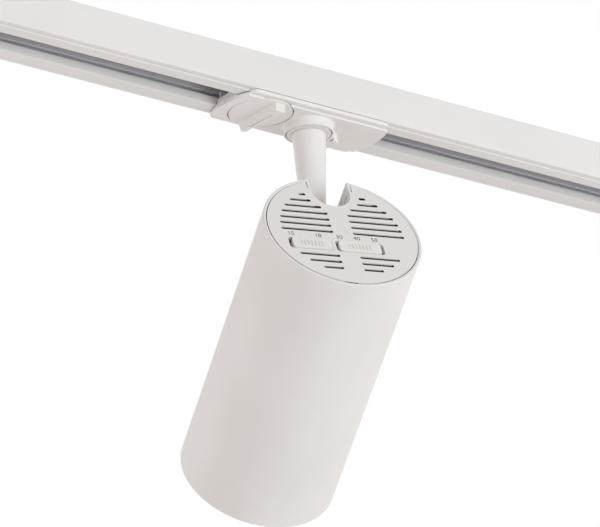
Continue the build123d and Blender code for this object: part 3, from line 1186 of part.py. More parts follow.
# Driver: an open tray on the chassis plate, with its board, transformer and two capacitors.
CASE_WIDTH = 2 * (SINK_POST_CIRCLE * cos(radians(SINK_POST_ANGLE)) - SCREW_HEAD_RADIUS - CASE_SCREW_GAP)
CASE_LOW = SCREW_HEAD_RADIUS + CASE_SCREW_GAP - SINK_POST_CIRCLE
CASE_REAR = BOARD_DEPTH + SWITCH_BOARD + SMALL_SCREW_HEAD_HEIGHT + CASE_BOARD_GAP
CASE_DEPTH = CHASSIS_DEPTH - CASE_REAR
CASE_MIDDLE = (CASE_LOW + CASE_HIGH) / 2
CASE_FLOOR = CHASSIS_DEPTH - CASE_WALL
BOARD_FACE = CASE_FLOOR - DRIVER_BOARD
INNER_WIDTH = CASE_WIDTH - 2 * CASE_WALL
INNER_HEIGHT = CASE_HIGH - CASE_LOW - 2 * CASE_WALL
with BuildPart() as driver_case:
    with BuildSketch(across(CHASSIS_DEPTH, 0, CASE_MIDDLE)):
        RectangleRounded(CASE_WIDTH, CASE_HIGH - CASE_LOW, CASE_CORNER)
    extrude(amount=CASE_DEPTH)
    with BuildSketch(across(CASE_FLOOR, 0, CASE_MIDDLE)):
        RectangleRounded(INNER_WIDTH, INNER_HEIGHT, CASE_CORNER - CASE_WALL)
    extrude(amount=CASE_DEPTH, mode=Mode.SUBTRACT)
save(driver_case, "driver_case")

with BuildPart() as driver_board:
    with BuildSketch(across(CASE_FLOOR, 0, CASE_MIDDLE)):
        RectangleRounded(INNER_WIDTH - 2 * LOOSE_GAP, INNER_HEIGHT - 2 * LOOSE_GAP, CASE_CORNER - CASE_WALL)
    extrude(amount=DRIVER_BOARD)
save(driver_board, "driver_board")

with BuildPart() as transformer:
    with BuildSketch(across(BOARD_FACE, TRANSFORMER_X, CASE_MIDDLE)):
        RectangleRounded(TRANSFORMER_WIDTH, TRANSFORMER_HEIGHT, CASE_WALL)
    extrude(amount=TRANSFORMER_DEPTH)
save(transformer, "transformer")

with BuildPart() as capacitors:
    with BuildSketch(across(BOARD_FACE, CAPACITOR_X, CASE_MIDDLE)):
        with GridLocations(1, CAPACITOR_PITCH, 1, 2):
            Circle(CAPACITOR_RADIUS)
    extrude(amount=CAPACITOR_LENGTH)
save(capacitors, "capacitors")

# Heat sink: a solid front with fins cut from behind, and posts that reach through the middle ledge.
SINK_FRONT = SINK_DEPTH + SINK_LENGTH
with BuildPart() as heat_sink:
    with BuildSketch(across(SINK_FRONT)):
        Circle(FIT_RADIUS)
    extrude(amount=SINK_LENGTH)
    with BuildSketch(across(SINK_FRONT - SINK_BASE)):
        with GridLocations(FIN_PITCH, 1, FIN_SLOTS, 1):
            Rectangle(FIN_SLOT, 2 * HEAD_RADIUS)
    extrude(amount=SINK_LENGTH, mode=Mode.SUBTRACT)
    with BuildSketch(across(SINK_FRONT - SINK_BASE)):
        with PolarLocations(SINK_POST_CIRCLE, SINK_POSTS, SINK_POST_ANGLE):
            Circle(SINK_POST_RADIUS)
    extrude(amount=SINK_FRONT - SINK_BASE - MID_LEDGE_DEPTH)
    with BuildSketch(across(MID_LEDGE_DEPTH)):
        with PolarLocations(SINK_POST_CIRCLE, SINK_POSTS, SINK_POST_ANGLE):
            Circle(SCREW_RADIUS + RUNNING_GAP)
    extrude(amount=-SINK_SCREW_BITE, mode=Mode.SUBTRACT)
    with BuildSketch(ahead(SINK_FRONT)):
        with GridLocations(2 * HOLDER_SCREW_CIRCLE, 1, 2, 1):
            Circle(SMALL_SCREW_RADIUS + RUNNING_GAP)
    extrude(amount=-HOLDER_SCREW_BITE, mode=Mode.SUBTRACT)
save(heat_sink, "heat_sink")

# Light source: a square board with a round emitter, under a screwed holder.
EMITTER_DEPTH = SINK_FRONT + LED_BOARD
HOLDER_FRONT = SINK_FRONT + HOLDER_THICKNESS
with BuildPart() as led_board:
    with BuildSketch(ahead(SINK_FRONT)):
        Rectangle(LED_BOARD_SIZE, LED_BOARD_SIZE)
    extrude(amount=LED_BOARD)
save(led_board, "led_board")

with BuildPart() as led_emitter:
    with BuildSketch(ahead(EMITTER_DEPTH)):
        Circle(EMITTER_RADIUS)
    extrude(amount=EMITTER_HEIGHT)
save(led_emitter, "led_emitter")

with BuildPart() as led_holder:
    with BuildSketch(ahead(SINK_FRONT)):
        Circle(HOLDER_RADIUS)
        Circle(HOLDER_WINDOW, mode=Mode.SUBTRACT)
        with GridLocations(2 * HOLDER_SCREW_CIRCLE, 1, 2, 1):
            Circle(SMALL_SCREW_RADIUS + RUNNING_GAP, mode=Mode.SUBTRACT)
    extrude(amount=HOLDER_THICKNESS)
    with BuildSketch(ahead(SINK_FRONT)):
        Rectangle(LED_BOARD_SIZE + 2 * LOOSE_GAP, LED_BOARD_SIZE + 2 * LOOSE_GAP)
    extrude(amount=LED_BOARD, mode=Mode.SUBTRACT)
save(led_holder, "led_holder")

with BuildPart() as holder_screws:
    length = HOLDER_THICKNESS + HOLDER_SCREW_BITE
    for side in (-1, 1):
        seat = ahead(HOLDER_FRONT, side * HOLDER_SCREW_CIRCLE)
        add(screw(seat, SMALL_SCREW_RADIUS, length, SMALL_SCREW_HEAD_RADIUS, SMALL_SCREW_HEAD_HEIGHT))
save(holder_screws, "holder_screws")

# Reflector cup from the holder to the glass, with a flange at its mouth.
BEZEL_DEPTH = HEAD_LENGTH - BEZEL_THICKNESS
GLASS_DEPTH = BEZEL_DEPTH - GLASS_THICKNESS
REFLECTOR_MOUTH = HEAD_BORE - REFLECTOR_INSET
with BuildPart() as reflector:
    with BuildSketch(SECTION):
        with BuildLine():
            inner_wall = Spline(
                (REFLECTOR_THROAT, HOLDER_FRONT),
                (REFLECTOR_MOUTH, GLASS_DEPTH),
                tangents=((REFLECTOR_BLOOM, 1), (1, REFLECTOR_BLOOM)),
            )
            outer_wall = Spline(
                (REFLECTOR_MOUTH + REFLECTOR_WALL, GLASS_DEPTH - REFLECTOR_FLANGE),
                (REFLECTOR_THROAT + REFLECTOR_WALL, HOLDER_FRONT),
                tangents=((-1, -REFLECTOR_BLOOM), (-REFLECTOR_BLOOM, -1)),
            )
            Polyline(
                inner_wall @ 1,
                (FIT_RADIUS, GLASS_DEPTH),
                (FIT_RADIUS, GLASS_DEPTH - REFLECTOR_FLANGE),
                outer_wall @ 0,
            )
            Line(outer_wall @ 1, inner_wall @ 0)
        make_face()
    revolve(axis=Axis(HEAD_ORIGIN, BEAM))
save(reflector, "reflector")

with BuildPart() as front_glass:
    with BuildSketch(ahead(GLASS_DEPTH)):
        Circle(FIT_RADIUS)
    extrude(amount=GLASS_THICKNESS)
save(front_glass, "front_glass")

# Bezel ring that closes the front of the tube.
with BuildPart() as front_bezel:
    with BuildSketch(ahead(BEZEL_DEPTH)):
        Circle(HEAD_BORE - RUNNING_GAP)
        Circle(HEAD_BORE - BEZEL_WIDTH, mode=Mode.SUBTRACT)
    extrude(amount=BEZEL_THICKNESS)
    front_edges = front_bezel.edges().filter_by(GeomType.CIRCLE).sort_by(Axis(HEAD_ORIGIN, BEAM))[-2:]
    chamfer(front_edges.sort_by(SortBy.RADIUS)[0], BEZEL_THICKNESS / 2)
save(front_bezel, "front_bezel")
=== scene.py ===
import bpy
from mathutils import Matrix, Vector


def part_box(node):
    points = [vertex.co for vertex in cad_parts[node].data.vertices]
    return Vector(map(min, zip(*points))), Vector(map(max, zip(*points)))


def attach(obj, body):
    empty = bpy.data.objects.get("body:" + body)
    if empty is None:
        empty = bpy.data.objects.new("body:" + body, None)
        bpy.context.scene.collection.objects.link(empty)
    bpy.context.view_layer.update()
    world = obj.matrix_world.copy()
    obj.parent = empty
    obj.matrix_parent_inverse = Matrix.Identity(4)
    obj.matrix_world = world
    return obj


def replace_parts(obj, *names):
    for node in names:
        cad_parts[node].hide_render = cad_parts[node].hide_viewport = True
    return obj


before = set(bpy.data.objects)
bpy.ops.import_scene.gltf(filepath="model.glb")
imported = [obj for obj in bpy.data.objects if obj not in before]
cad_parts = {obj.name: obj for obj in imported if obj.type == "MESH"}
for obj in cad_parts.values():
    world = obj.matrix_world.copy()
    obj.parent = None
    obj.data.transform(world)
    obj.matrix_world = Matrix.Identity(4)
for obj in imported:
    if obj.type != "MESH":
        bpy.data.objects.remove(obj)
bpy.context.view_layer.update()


class Value:
    """A number that varies over a surface. Sums of such numbers add Math nodes to their finish."""

    def __init__(self, finish, socket):
        self.finish, self.socket = finish, socket

    def sum(self, operation, first, second):
        return self.finish.node("ShaderNodeMath", {"operation": operation}, {0: first, 1: second})

    def __add__(self, other):
        return self.sum("ADD", self, other)

    def __sub__(self, other):
        return self.sum("SUBTRACT", self, other)

    def __rsub__(self, other):
        return self.sum("SUBTRACT", other, self)

    def __mul__(self, other):
        return self.sum("MULTIPLY", self, other)

    def __gt__(self, other):
        return self.sum("GREATER_THAN", self, other)

    def __lt__(self, other):
        return self.sum("LESS_THAN", self, other)

    __radd__ = __add__
    __rmul__ = __mul__

    def rise(self, low, high):
        """0 below low, 1 above high, and a smooth step between them."""
        sockets = {"Value": self, "From Min": low, "From Max": high}
        return self.finish.node("ShaderNodeMapRange", {"interpolation_type": "SMOOTHSTEP"}, sockets)


class Finish:
    """A material on one shader. What is the same all over is set on it, and what varies is linked to it."""

    def __init__(self, name, **fixed):
        self.material = bpy.data.materials.new(name)
        self.material.use_nodes = True
        self.tree = self.material.node_tree
        self.shader = self.tree.nodes["Principled BSDF"]
        for socket, value in fixed.items():
            self.shader.inputs[socket.replace("_", " ")].default_value = value

    def node(self, kind, settings, sockets, output=0):
        """Adds a node: its settings first, then a value or a link for each of its sockets."""
        made = self.tree.nodes.new(kind)
        for name, value in settings.items():
            setattr(made, name, value)
        for name, value in sockets.items():
            if isinstance(value, Value):
                self.tree.links.new(value.socket, made.inputs[name])
            else:
                made.inputs[name].default_value = value
        return Value(self, made.outputs[output])

    def place(self, sizes, turn=(0, 0, 0), centre=(0, 0, 0)):
        """Object coordinates from a centre in a turned frame, divided by a size along each of its axes."""
        where = self.node("ShaderNodeTexCoord", {}, {}, "Object")
        sockets = {"Vector": where, "Location": centre, "Rotation": turn, "Scale": sizes}
        return self.node("ShaderNodeMapping", {"vector_type": "TEXTURE"}, sockets)

    def axis(self, place, name):
        """One coordinate of a place: X, Y or Z."""
        return self.node("ShaderNodeSeparateXYZ", {}, {0: place}, name)

    def noise(self, sizes, turn=(0, 0, 0), detail=2.0):
        """Soft noise around 0.5, in spots of about these sizes in metres along a turned frame's axes."""
        sockets = {"Vector": self.place(sizes, turn), "Scale": 1.0, "Detail": detail}
        return self.node("ShaderNodeTexNoise", {}, sockets, "Fac")

    def colour(self, first, second, share):
        """Base colour from the first to the second of two colours by a varying share."""
        blend = {0: share, 6: (*first, 1), 7: (*second, 1)}
        self.feed("Base Color", self.node("ShaderNodeMix", {"data_type": "RGBA"}, blend, 2))

    def emboss(self, height, depth):
        """Bump by a varying height, in which 1 stands for a depth in metres."""
        self.feed("Normal", self.node("ShaderNodeBump", {}, {"Height": height, "Distance": depth}))

    def feed(self, socket, value):
        self.tree.links.new(value.socket, self.shader.inputs[socket])

    def dress(self, *nodes):
        for node in nodes:
            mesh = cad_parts[node].data
            mesh.materials.clear()
            mesh.materials.append(self.material)


track_white = Finish("track_white", Specular_IOR_Level=0.4)
orange_peel = track_white.noise((0.0011, 0.0011, 0.0011))
die_lines = track_white.noise((0.4, 0.0007, 0.0007), detail=3.0)
coat_cloud = track_white.noise((0.09, 0.03, 0.03), detail=3.0)
track_white.colour((0.78, 0.768, 0.76), (0.755, 0.744, 0.737), coat_cloud.rise(0.35, 0.7))
track_white.feed("Roughness", 0.34 + 0.14 * orange_peel + 0.08 * die_lines)
track_white.emboss(orange_peel + 0.7 * die_lines, 0.000014)
track_white.dress("track_rail")

# Insulators: grey vinyl strips pushed into the track along both walls, each with a groove for a conductor.
# They are extruded, so faint streaks run along them, and a paler line along them is painted light. The skin
# is a matt, bluish grey.
grey_insulator = Finish("grey_insulator", Specular_IOR_Level=0.35)
streaks = grey_insulator.noise((0.22, 0.0009, 0.0009), detail=4.0)
melt_wave = grey_insulator.noise((0.035, 0.02, 0.02), detail=2.0)
strip_height = grey_insulator.axis(grey_insulator.place((1, 1, 1)), "Z")
# Painted light: a paler band along each strip, at the height of the conductor groove.
line_low, line_high, line_blur = -0.0125, -0.0114, 0.0002
above_low = strip_height.rise(line_low - line_blur, line_low + line_blur)
above_high = strip_height.rise(line_high - line_blur, line_high + line_blur)
painted_light_line = above_low * (1.0 - above_high)
strip_tone = (0.6 * streaks + 0.4 * melt_wave).rise(0.35, 0.65)
strip_shade = (0.66 + 0.34 * strip_tone) * (1.0 - painted_light_line)
grey_insulator.colour((0.90, 0.925, 0.97), (0.58, 0.605, 0.65), strip_shade)
grey_insulator.feed("Roughness", 0.5 + 0.18 * streaks)
grey_insulator.emboss(streaks, 0.00003)
grey_insulator.dress("near_insulator", "far_insulator")

# Conductors: drawn copper bar with a tinned skin, snapped into the insulators' grooves and a little dulled.
# Fine draw marks run along the bars.
tinned_copper = Finish("tinned_copper", Metallic=1.0)
dulling = tinned_copper.noise((0.018, 0.004, 0.004), detail=4.0).rise(0.42, 0.68)
skin_marks = tinned_copper.noise((0.12, 0.0003, 0.0003))
tinned_copper.colour((0.78, 0.78, 0.79), (0.60, 0.605, 0.62), dulling)
tinned_copper.feed("Roughness", 0.3 + 0.2 * dulling + 0.12 * skin_marks)
tinned_copper.emboss(skin_marks, 0.000005)
tinned_copper.dress("near_conductor", "far_conductor")

# End cap and live end: moulded from white plastic and pushed into the two ends of the track.
# The mould is spark finished, which leaves a fine, even, matt grain, and the melt leaves faint flow marks.
white_plastic = Finish("white_plastic", Specular_IOR_Level=0.42)
spark_grain = white_plastic.noise((0.00042, 0.00042, 0.00042), detail=3.0)
melt_flow = white_plastic.noise((0.03, 0.012, 0.012), detail=3.0)
white_plastic.colour((0.835, 0.82, 0.805), (0.805, 0.787, 0.77), melt_flow.rise(0.35, 0.7))
white_plastic.feed("Roughness", 0.42 + 0.22 * spark_grain)
white_plastic.emboss(spark_grain + 0.3 * melt_flow, 0.000016)
white_plastic.dress("end_cap", "feed_housing", "feed_cover")

# Lid screw: a small zinc plated pan head screw with a cross recess, driven up through the live end's lid.
# The head is cold formed and the thread rolled, and the plating has a pale, slightly cloudy sheen.
import numpy as np
from mathutils import Matrix, Vector


SHARP = 0.6


def smooth_object(name, finish, points, faces):
    """A new object of points and faces in one finish, smooth but for edges that turn by more than SHARP."""
    mesh = bpy.data.meshes.new(name)
    mesh.from_pydata(points, [], faces)
    mesh.shade_smooth()
    mesh.set_sharp_from_angle(angle=SHARP)
    mesh.materials.append(finish.material)
    made = bpy.data.objects.new(name, mesh)
    bpy.context.scene.collection.objects.link(made)
    return made


def skin(name, finish, grids, body):
    """A piece from grids of points, each one ring of points after another. Every four neighbours make a
    face, and the first and last ring of a grid are drawn together to one point, which closes its ends."""
    points, faces, start = [], [], 0
    for grid in grids:
        rows, columns = grid.shape[:2]
        ring = np.arange(columns)
        after = np.roll(ring, -1)
        first = (start + columns * np.arange(rows - 2))[:-1, None]
        quads = np.stack([first + ring, first + columns + ring, first + columns + after, first + after], -1)
        top = start + columns * (rows - 2)
        last = top - columns
        over = np.stack([np.full(columns, top), ring + start, after + start], -1)
        under = np.stack([np.full(columns, top + 1), after + last, ring + last], -1)
        faces += quads.reshape(-1, 4).tolist() + over.tolist() + under.tolist()
        points += [grid[1:-1].reshape(-1, 3), grid[0].mean(0)[None], grid[-1].mean(0)[None]]
        start = top + 2
    piece = smooth_object(name, finish, np.concatenate(points).tolist(), faces)
    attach(piece, body)
    return piece


def screw_grid(seat, axis, radius, length, head_radius, head_height):
    """A pan head screw on its seat, as a profile of radius and height carried round its axis. The head's
    profile is a squared-off quarter ellipse. Its top sinks where a point lies in one of two crossed bars,
    which makes the recess. The shank's radius is its core plus a triangle wave of height over pitch less
    angle over a turn, which makes the thread."""
    columns, head_rows, rows_per_pitch = 48, 25, 8
    pitch, core, tip = 0.45 * radius, 0.78, 0.35
    bar_width, bar_reach, bar_slope, bar_depth = 0.14, 0.62, 0.05, 0.55 * head_height
    angle = np.linspace(0, 2 * np.pi, columns, endpoint=False)
    sweep = np.linspace(0, np.pi / 2, head_rows)
    height = np.linspace(0, -length, int(rows_per_pitch * length / pitch))
    wave = np.abs(2 * ((height[:, None] / pitch - angle / (2 * np.pi)) % 1) - 1)
    taper = np.clip((length + height) / radius, tip, 1)[:, None]
    shank = radius * (core + (1 - core) * wave) * taper
    head = np.repeat(head_radius * np.sin(sweep)[:, None] ** 0.8, columns, 1)
    reach = np.concatenate([head, shank, np.zeros((1, columns))])
    heights = np.concatenate([head_height * np.cos(sweep) ** 0.5, height, [-length]])
    rise = heights[:, None] * np.ones(columns)
    east, north = np.abs(reach * np.cos(angle)) / head_radius, np.abs(reach * np.sin(angle)) / head_radius
    along_north = np.minimum(bar_width - east, bar_reach - north)
    along_east = np.minimum(bar_width - north, bar_reach - east)
    sunk = np.clip(np.maximum(along_north, along_east) / bar_slope + 0.5, 0, 1) * (rise > 0.3 * head_height)
    rise = rise - bar_depth * sunk
    local = np.stack([reach * np.cos(angle), reach * np.sin(angle), rise], -1)
    turn = np.array(Vector(axis).to_track_quat("Z", "Y").to_matrix())
    return local @ turn.T + np.array(seat)


steel = Finish("steel", Metallic=1.0)
plating = steel.noise((0.0013, 0.0013, 0.0013), detail=3.0)
steel_grain = steel.noise((0.00018, 0.00018, 0.00018))
steel.colour((0.66, 0.67, 0.69), (0.52, 0.53, 0.56), plating.rise(0.35, 0.65))
steel.feed("Roughness", 0.24 + 0.22 * plating)
steel.emboss(steel_grain, 0.000004)
SMALL_SCREW, SMALL_HEAD, PAN_HEIGHT, LID_PAN_HEIGHT = 0.001, 0.0019, 0.0012, 0.0008
lid_seat, lid_screw_length = (-0.212, 0, -0.0225), 0.005
lid_screw = screw_grid(lid_seat, (0, 0, -1), SMALL_SCREW, lid_screw_length, SMALL_HEAD, LID_PAN_HEIGHT)
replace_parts(skin("lid_screw", steel, [lid_screw], "rail"), "feed_cover_screw")

# Supply terminals: an ivory nylon block with three plated clamp screws, under the roof of the wiring pocket.
# Two strips of bare, tarnished copper join it to the conductors.
terminal_plastic = Finish("terminal_plastic", Specular_IOR_Level=0.45)
nylon_grain = terminal_plastic.noise((0.0008, 0.0008, 0.0008), detail=3.0)
terminal_plastic.colour((0.79, 0.775, 0.70), (0.74, 0.72, 0.64), nylon_grain.rise(0.3, 0.7))
terminal_plastic.feed("Roughness", 0.36 + 0.2 * nylon_grain)
terminal_plastic.emboss(nylon_grain, 0.00001)
terminal_plastic.dress("terminal_block")
steel.dress("terminal_screws")
copper = Finish("copper", Metallic=1.0)
tarnish = copper.noise((0.018, 0.004, 0.004), detail=4.0).rise(0.42, 0.68)
draw_marks = copper.noise((0.0003, 0.12, 0.0003))
copper.colour((0.76, 0.42, 0.27), (0.45, 0.235, 0.15), tarnish)
copper.feed("Roughness", 0.24 + 0.24 * tarnish + 0.12 * draw_marks)
copper.emboss(draw_marks, 0.000005)
copper.dress("feed_contacts")

# Cable grommet: a black rubber bush pressed into the end wall, where a supply cable would come in.
# Its skin is dull, with a bloom of paler dust.
black_rubber = Finish("black_rubber", Specular_IOR_Level=0.3)
bloom = black_rubber.noise((0.003, 0.003, 0.003), detail=5.0)
black_rubber.colour((0.022, 0.022, 0.023), (0.055, 0.054, 0.052), bloom.rise(0.45, 0.75))
black_rubber.feed("Roughness", 0.62 + 0.25 * bloom)
black_rubber.emboss(bloom, 0.00004)
black_rubber.dress("cable_grommet")

# Adapter: a white plastic plate under the track, screwed to a block in the slot that houses the wiring.
# Inside are three plated screws and an ivory terminal, and a bowed steel spring on top earths the track.
white_plastic.dress("adapter_cover", "adapter_body", "adapter_lid")
terminal_plastic.dress("wire_terminal")
steel.dress("earth_spring")
adapter_grids = []
for along, seat_height, length in (
    (-0.046, -0.0171, 0.0047),
    (0.0135, -0.014, 0.0078),
    (0.0333, -0.014, 0.0078),
):
    seat = along, 0, seat_height
    adapter_grids.append(screw_grid(seat, (0, 0, 1), SMALL_SCREW, length, SMALL_HEAD, PAN_HEIGHT))
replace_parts(skin("adapter_pan_screws", steel, adapter_grids, "adapter"), "adapter_screws")

# Locking lever: a white plastic disc flush with the plate, with a thumb bar and a shaft into the slot.
# A steel lug, an ivory rotor and two copper blades sit on the shaft, and one long screw clamps them.
white_plastic.dress("lever_knob")
steel.dress("locking_lug")
terminal_plastic.dress("rotor")
copper.dress("contact_blades")
rotor_low, rotor_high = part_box("rotor")
rotor_top = (*((rotor_low + rotor_high) / 2).xy, rotor_high.z)
lever_screw_length = 0.011
lever_grid = screw_grid(rotor_top, (0, 0, 1), SMALL_SCREW, lever_screw_length, SMALL_HEAD, PAN_HEIGHT)
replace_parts(skin("lever_pan_screw", steel, [lever_grid], "lever"), "lever_screw")

# Stem: a die cast tube that tapers from a flange in the collar to a flat pivot eye, painted satin white.
# A washer and a slotted nut on its neck hold it in the adapter, free to turn.
stem_white = Finish("stem_white", Specular_IOR_Level=0.42)
paint_peel = stem_white.noise((0.0009, 0.0009, 0.0014))
paint_cloud = stem_white.noise((0.012, 0.012, 0.03), detail=3.0)
stem_white.colour((0.82, 0.803, 0.79), (0.79, 0.772, 0.76), paint_cloud.rise(0.35, 0.7))
stem_white.feed("Roughness", 0.34 + 0.18 * paint_peel)
stem_white.emboss(paint_peel, 0.000014)
stem_white.dress("stem")
steel.dress("pan_washer", "pan_nut")

# Lamp head: a plain aluminium tube, slotted at the top of its rear end for the stem.
# It is powder coated a fine matt white, in small soft grains with faint turning lines under them.
from math import cos, radians, sin

PAN, TILT = radians(72.04), radians(63.25)
BEAM = Vector((sin(TILT) * cos(PAN), sin(TILT) * sin(PAN), -cos(TILT)))
UPPER = Vector((cos(TILT) * cos(PAN), cos(TILT) * sin(PAN), sin(TILT)))
ACROSS = Vector((sin(PAN), -cos(PAN), 0))
HEAD_TURN = Matrix((ACROSS, UPPER, -BEAM)).transposed()
HEAD_ANGLES = tuple(HEAD_TURN.to_euler())
PIVOT, PIVOT_UP, PIVOT_DEPTH = Vector((0, 0, -0.08033)), 0.028, 0.0276
REAR = PIVOT - UPPER * PIVOT_UP - BEAM * PIVOT_DEPTH


def in_head(across, up, depth):
    """A point in the lamp head, from its place across and up and its depth from the rear rim."""
    return REAR + ACROSS * across + UPPER * up + BEAM * depth


head_white = Finish("head_white", Specular_IOR_Level=0.4)
powder_grain = head_white.noise((0.0006, 0.0006, 0.0006), detail=3.0)
turning_lines = head_white.noise((0.03, 0.03, 0.0005), HEAD_ANGLES)
powder_cloud = head_white.noise((0.04, 0.04, 0.06), HEAD_ANGLES, 3.0)
head_white.colour((0.80, 0.785, 0.772), (0.772, 0.755, 0.74), powder_cloud.rise(0.35, 0.7))
head_white.feed("Roughness", 0.44 + 0.2 * powder_grain)
head_white.emboss(powder_grain + 0.25 * turning_lines, 0.00002)
head_white.dress("head_housing")

# Rear cap: a moulded disc clipped into the tube, with vents, two windows and a skirt round the stem's slot.
# Its face and windows are white. Painted shade darkens the vent walls below a small depth, and nearer the
# face at one end of each vent.
cap_white = Finish("cap_white", Specular_IOR_Level=0.42)
cap_place = cap_white.place((1, 1, 1), HEAD_ANGLES, REAR)
cap_across, cap_up, cap_out = (cap_white.axis(cap_place, name) for name in "XYZ")
from_stem = cap_across * cap_across + (cap_up - PIVOT_UP) * (cap_up - PIVOT_UP)
from_middle = cap_across * cap_across + cap_up * cap_up
vent_near_end, vent_far_end, bridge, notch, beside_notch = 0.0291, 0.0306, 0.0059, 0.012, 0.0145
# Painted shade: vent walls deeper than this are painted dark, and less deep at the vents' shaded ends.
vent_shade_start, end_shade_extra, window_low, window_high = 0.0006, 0.0005, -0.0152, -0.0062
outer_ends = (cap_across > 0.0) * (from_middle > vent_near_end**2) * (from_middle < vent_far_end**2)
inner_ends = (cap_across < 0.0) * ((cap_across > -bridge) + (from_stem < beside_notch**2))
painted_shade_depth = vent_shade_start - end_shade_extra * (outer_ends + inner_ends).rise(0.0, 1.0)
windows = (cap_up > window_low) * (cap_up < window_high)
painted_vent_shade = (cap_out < -1.0 * painted_shade_depth) * (from_stem > notch**2) * (1.0 - windows)
cap_grain = cap_white.noise((0.0004, 0.0004, 0.0004), detail=3.0)
# The dark second colour is painted shade on the vent walls, kept off the windows and round the stem's slot.
cap_white.colour((0.79, 0.782, 0.775), (0.035, 0.033, 0.032), painted_vent_shade * (0.9 + 0.2 * cap_grain))
cap_white.feed("Roughness", 0.4 + 0.24 * cap_grain)
cap_white.emboss(cap_grain, 0.000016)
cap_white.dress("rear_cap")

# Switch sliders: two white plastic caps with seven finger ribs each, in the windows of the rear cap.
# Plain numbers are printed above them in thin grey ink.
import bmesh

white_plastic.dress("power_slider", "colour_slider")
grey_ink = Finish("grey_ink", Specular_IOR_Level=0.3)
ink_specks = grey_ink.noise((0.00025, 0.00025, 0.00025), detail=3.0)
grey_ink.colour((0.10, 0.10, 0.10), (0.19, 0.185, 0.18), ink_specks.rise(0.4, 0.7))
grey_ink.feed("Roughness", 0.5 + 0.2 * ink_specks)
grey_ink.emboss(ink_specks, 0.000006)
NUMBER_SIZE, NUMBER_UP, INK, WELD = 0.0034, -0.0043, 0.00002, 0.0000005
for name, words, across in (
    ("number_low", "15", -0.0262),
    ("number_high", "18", -0.0130),
    ("number_warm", "30", -0.0026),
    ("number_middle", "40", 0.0060),
    ("number_cool", "50", 0.0146),
):
    letters = bpy.data.curves.new(name, "FONT")
    letters.body, letters.size, letters.extrude = words, NUMBER_SIZE, INK
    letters.align_x, letters.align_y = "CENTER", "CENTER"
    stencil = bpy.data.objects.new(name + "_stencil", letters)
    mesh = bpy.data.meshes.new_from_object(stencil)
    bpy.data.objects.remove(stencil)
    joined = bmesh.new()
    joined.from_mesh(mesh)
    bmesh.ops.remove_doubles(joined, verts=joined.verts, dist=WELD)
    bmesh.ops.dissolve_degenerate(joined, edges=joined.edges, dist=WELD)
    joined.to_mesh(mesh)
    joined.free()
    mesh.transform(Matrix.Translation(in_head(across, NUMBER_UP, -INK)) @ HEAD_TURN.to_4x4())
    mesh.materials.clear()
    mesh.materials.append(grey_ink.material)
    number = bpy.data.objects.new(name, mesh)
    bpy.context.scene.collection.objects.link(number)
    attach(number, "head")

# Switch board: a green glass fibre board on two posts of the cap, with two black switches and two screws.
# The solder mask is glossy, and the copper under it shows as paler islands.
circuit_board = Finish("circuit_board", Coat_Weight=0.4, Coat_Roughness=0.12)
island_place = circuit_board.place((0.0035, 0.0035, 0.0035), HEAD_ANGLES)
to_edge = {"feature": "DISTANCE_TO_EDGE"}
from_edge = circuit_board.node("ShaderNodeTexVoronoi", to_edge, {"Vector": island_place, "Scale": 1.0})
islands = from_edge.rise(0.05, 0.09)
glass_weave = circuit_board.noise((0.0005, 0.0005, 0.0005), HEAD_ANGLES, 3.0)
circuit_board.colour((0.022, 0.10, 0.05), (0.05, 0.21, 0.10), islands)
circuit_board.feed("Roughness", 0.28 + 0.15 * glass_weave)
circuit_board.emboss(islands + 0.3 * glass_weave, 0.00003)
circuit_board.dress("switch_board")
black_plastic = Finish("black_plastic", Specular_IOR_Level=0.4)
black_grain = black_plastic.noise((0.0005, 0.0005, 0.0005), detail=3.0)
black_plastic.colour((0.02, 0.02, 0.021), (0.036, 0.036, 0.037), black_grain.rise(0.35, 0.7))
black_plastic.feed("Roughness", 0.42 + 0.25 * black_grain)
black_plastic.emboss(black_grain, 0.00002)
black_plastic.dress("power_switch", "colour_switch")

# Chassis: a plated steel plate across the tube, on three screws in the heat sink, with the pivot bracket.
# The bracket's cheeks hold the stem's eye on a bolt, between two friction washers of pressed brown fibre.
steel.dress("chassis_plate", "pivot_bracket", "pivot_bolt", "pivot_nut")
friction_fibre = Finish("friction_fibre", Specular_IOR_Level=0.25)
fibres = friction_fibre.noise((0.0016, 0.0002, 0.0002), (0.4, 0.9, 0.7), 4.0)
friction_fibre.colour((0.30, 0.235, 0.15), (0.16, 0.12, 0.075), fibres.rise(0.35, 0.65))
friction_fibre.feed("Roughness", 0.7 + 0.2 * fibres)
friction_fibre.emboss(fibres, 0.00003)
friction_fibre.dress("friction_washers")

# Driver: an open black plastic tray on the chassis, with a board, a taped transformer and two capacitors.
# The yellow tape is wound in even laps, and each capacitor has a dark shrink sleeve with a pale stripe.
black_plastic.dress("driver_case")
circuit_board.dress("driver_board")
transformer_tape = Finish("transformer_tape", Specular_IOR_Level=0.5)
lap_place = transformer_tape.place((0.003, 0.003, 0.003), HEAD_ANGLES, REAR)
lap_bands = {"bands_direction": "Z"}
laps = transformer_tape.node("ShaderNodeTexWave", lap_bands, {"Vector": lap_place, "Scale": 1.0}, "Fac")
tape_creases = transformer_tape.noise((0.004, 0.004, 0.0006), HEAD_ANGLES, 3.0)
tape_tone = (0.6 * laps + 0.4 * tape_creases).rise(0.3, 0.7)
transformer_tape.colour((0.74, 0.58, 0.10), (0.62, 0.46, 0.06), tape_tone)
transformer_tape.feed("Roughness", 0.25 + 0.2 * tape_creases)
transformer_tape.emboss(laps + 0.5 * tape_creases, 0.00006)
transformer_tape.dress("transformer")
capacitor_sleeve = Finish("capacitor_sleeve", Coat_Weight=0.3, Coat_Roughness=0.15)
sleeve_place = capacitor_sleeve.place((1, 1, 1), HEAD_ANGLES, REAR)
sleeve_across = capacitor_sleeve.axis(sleeve_place, "X")
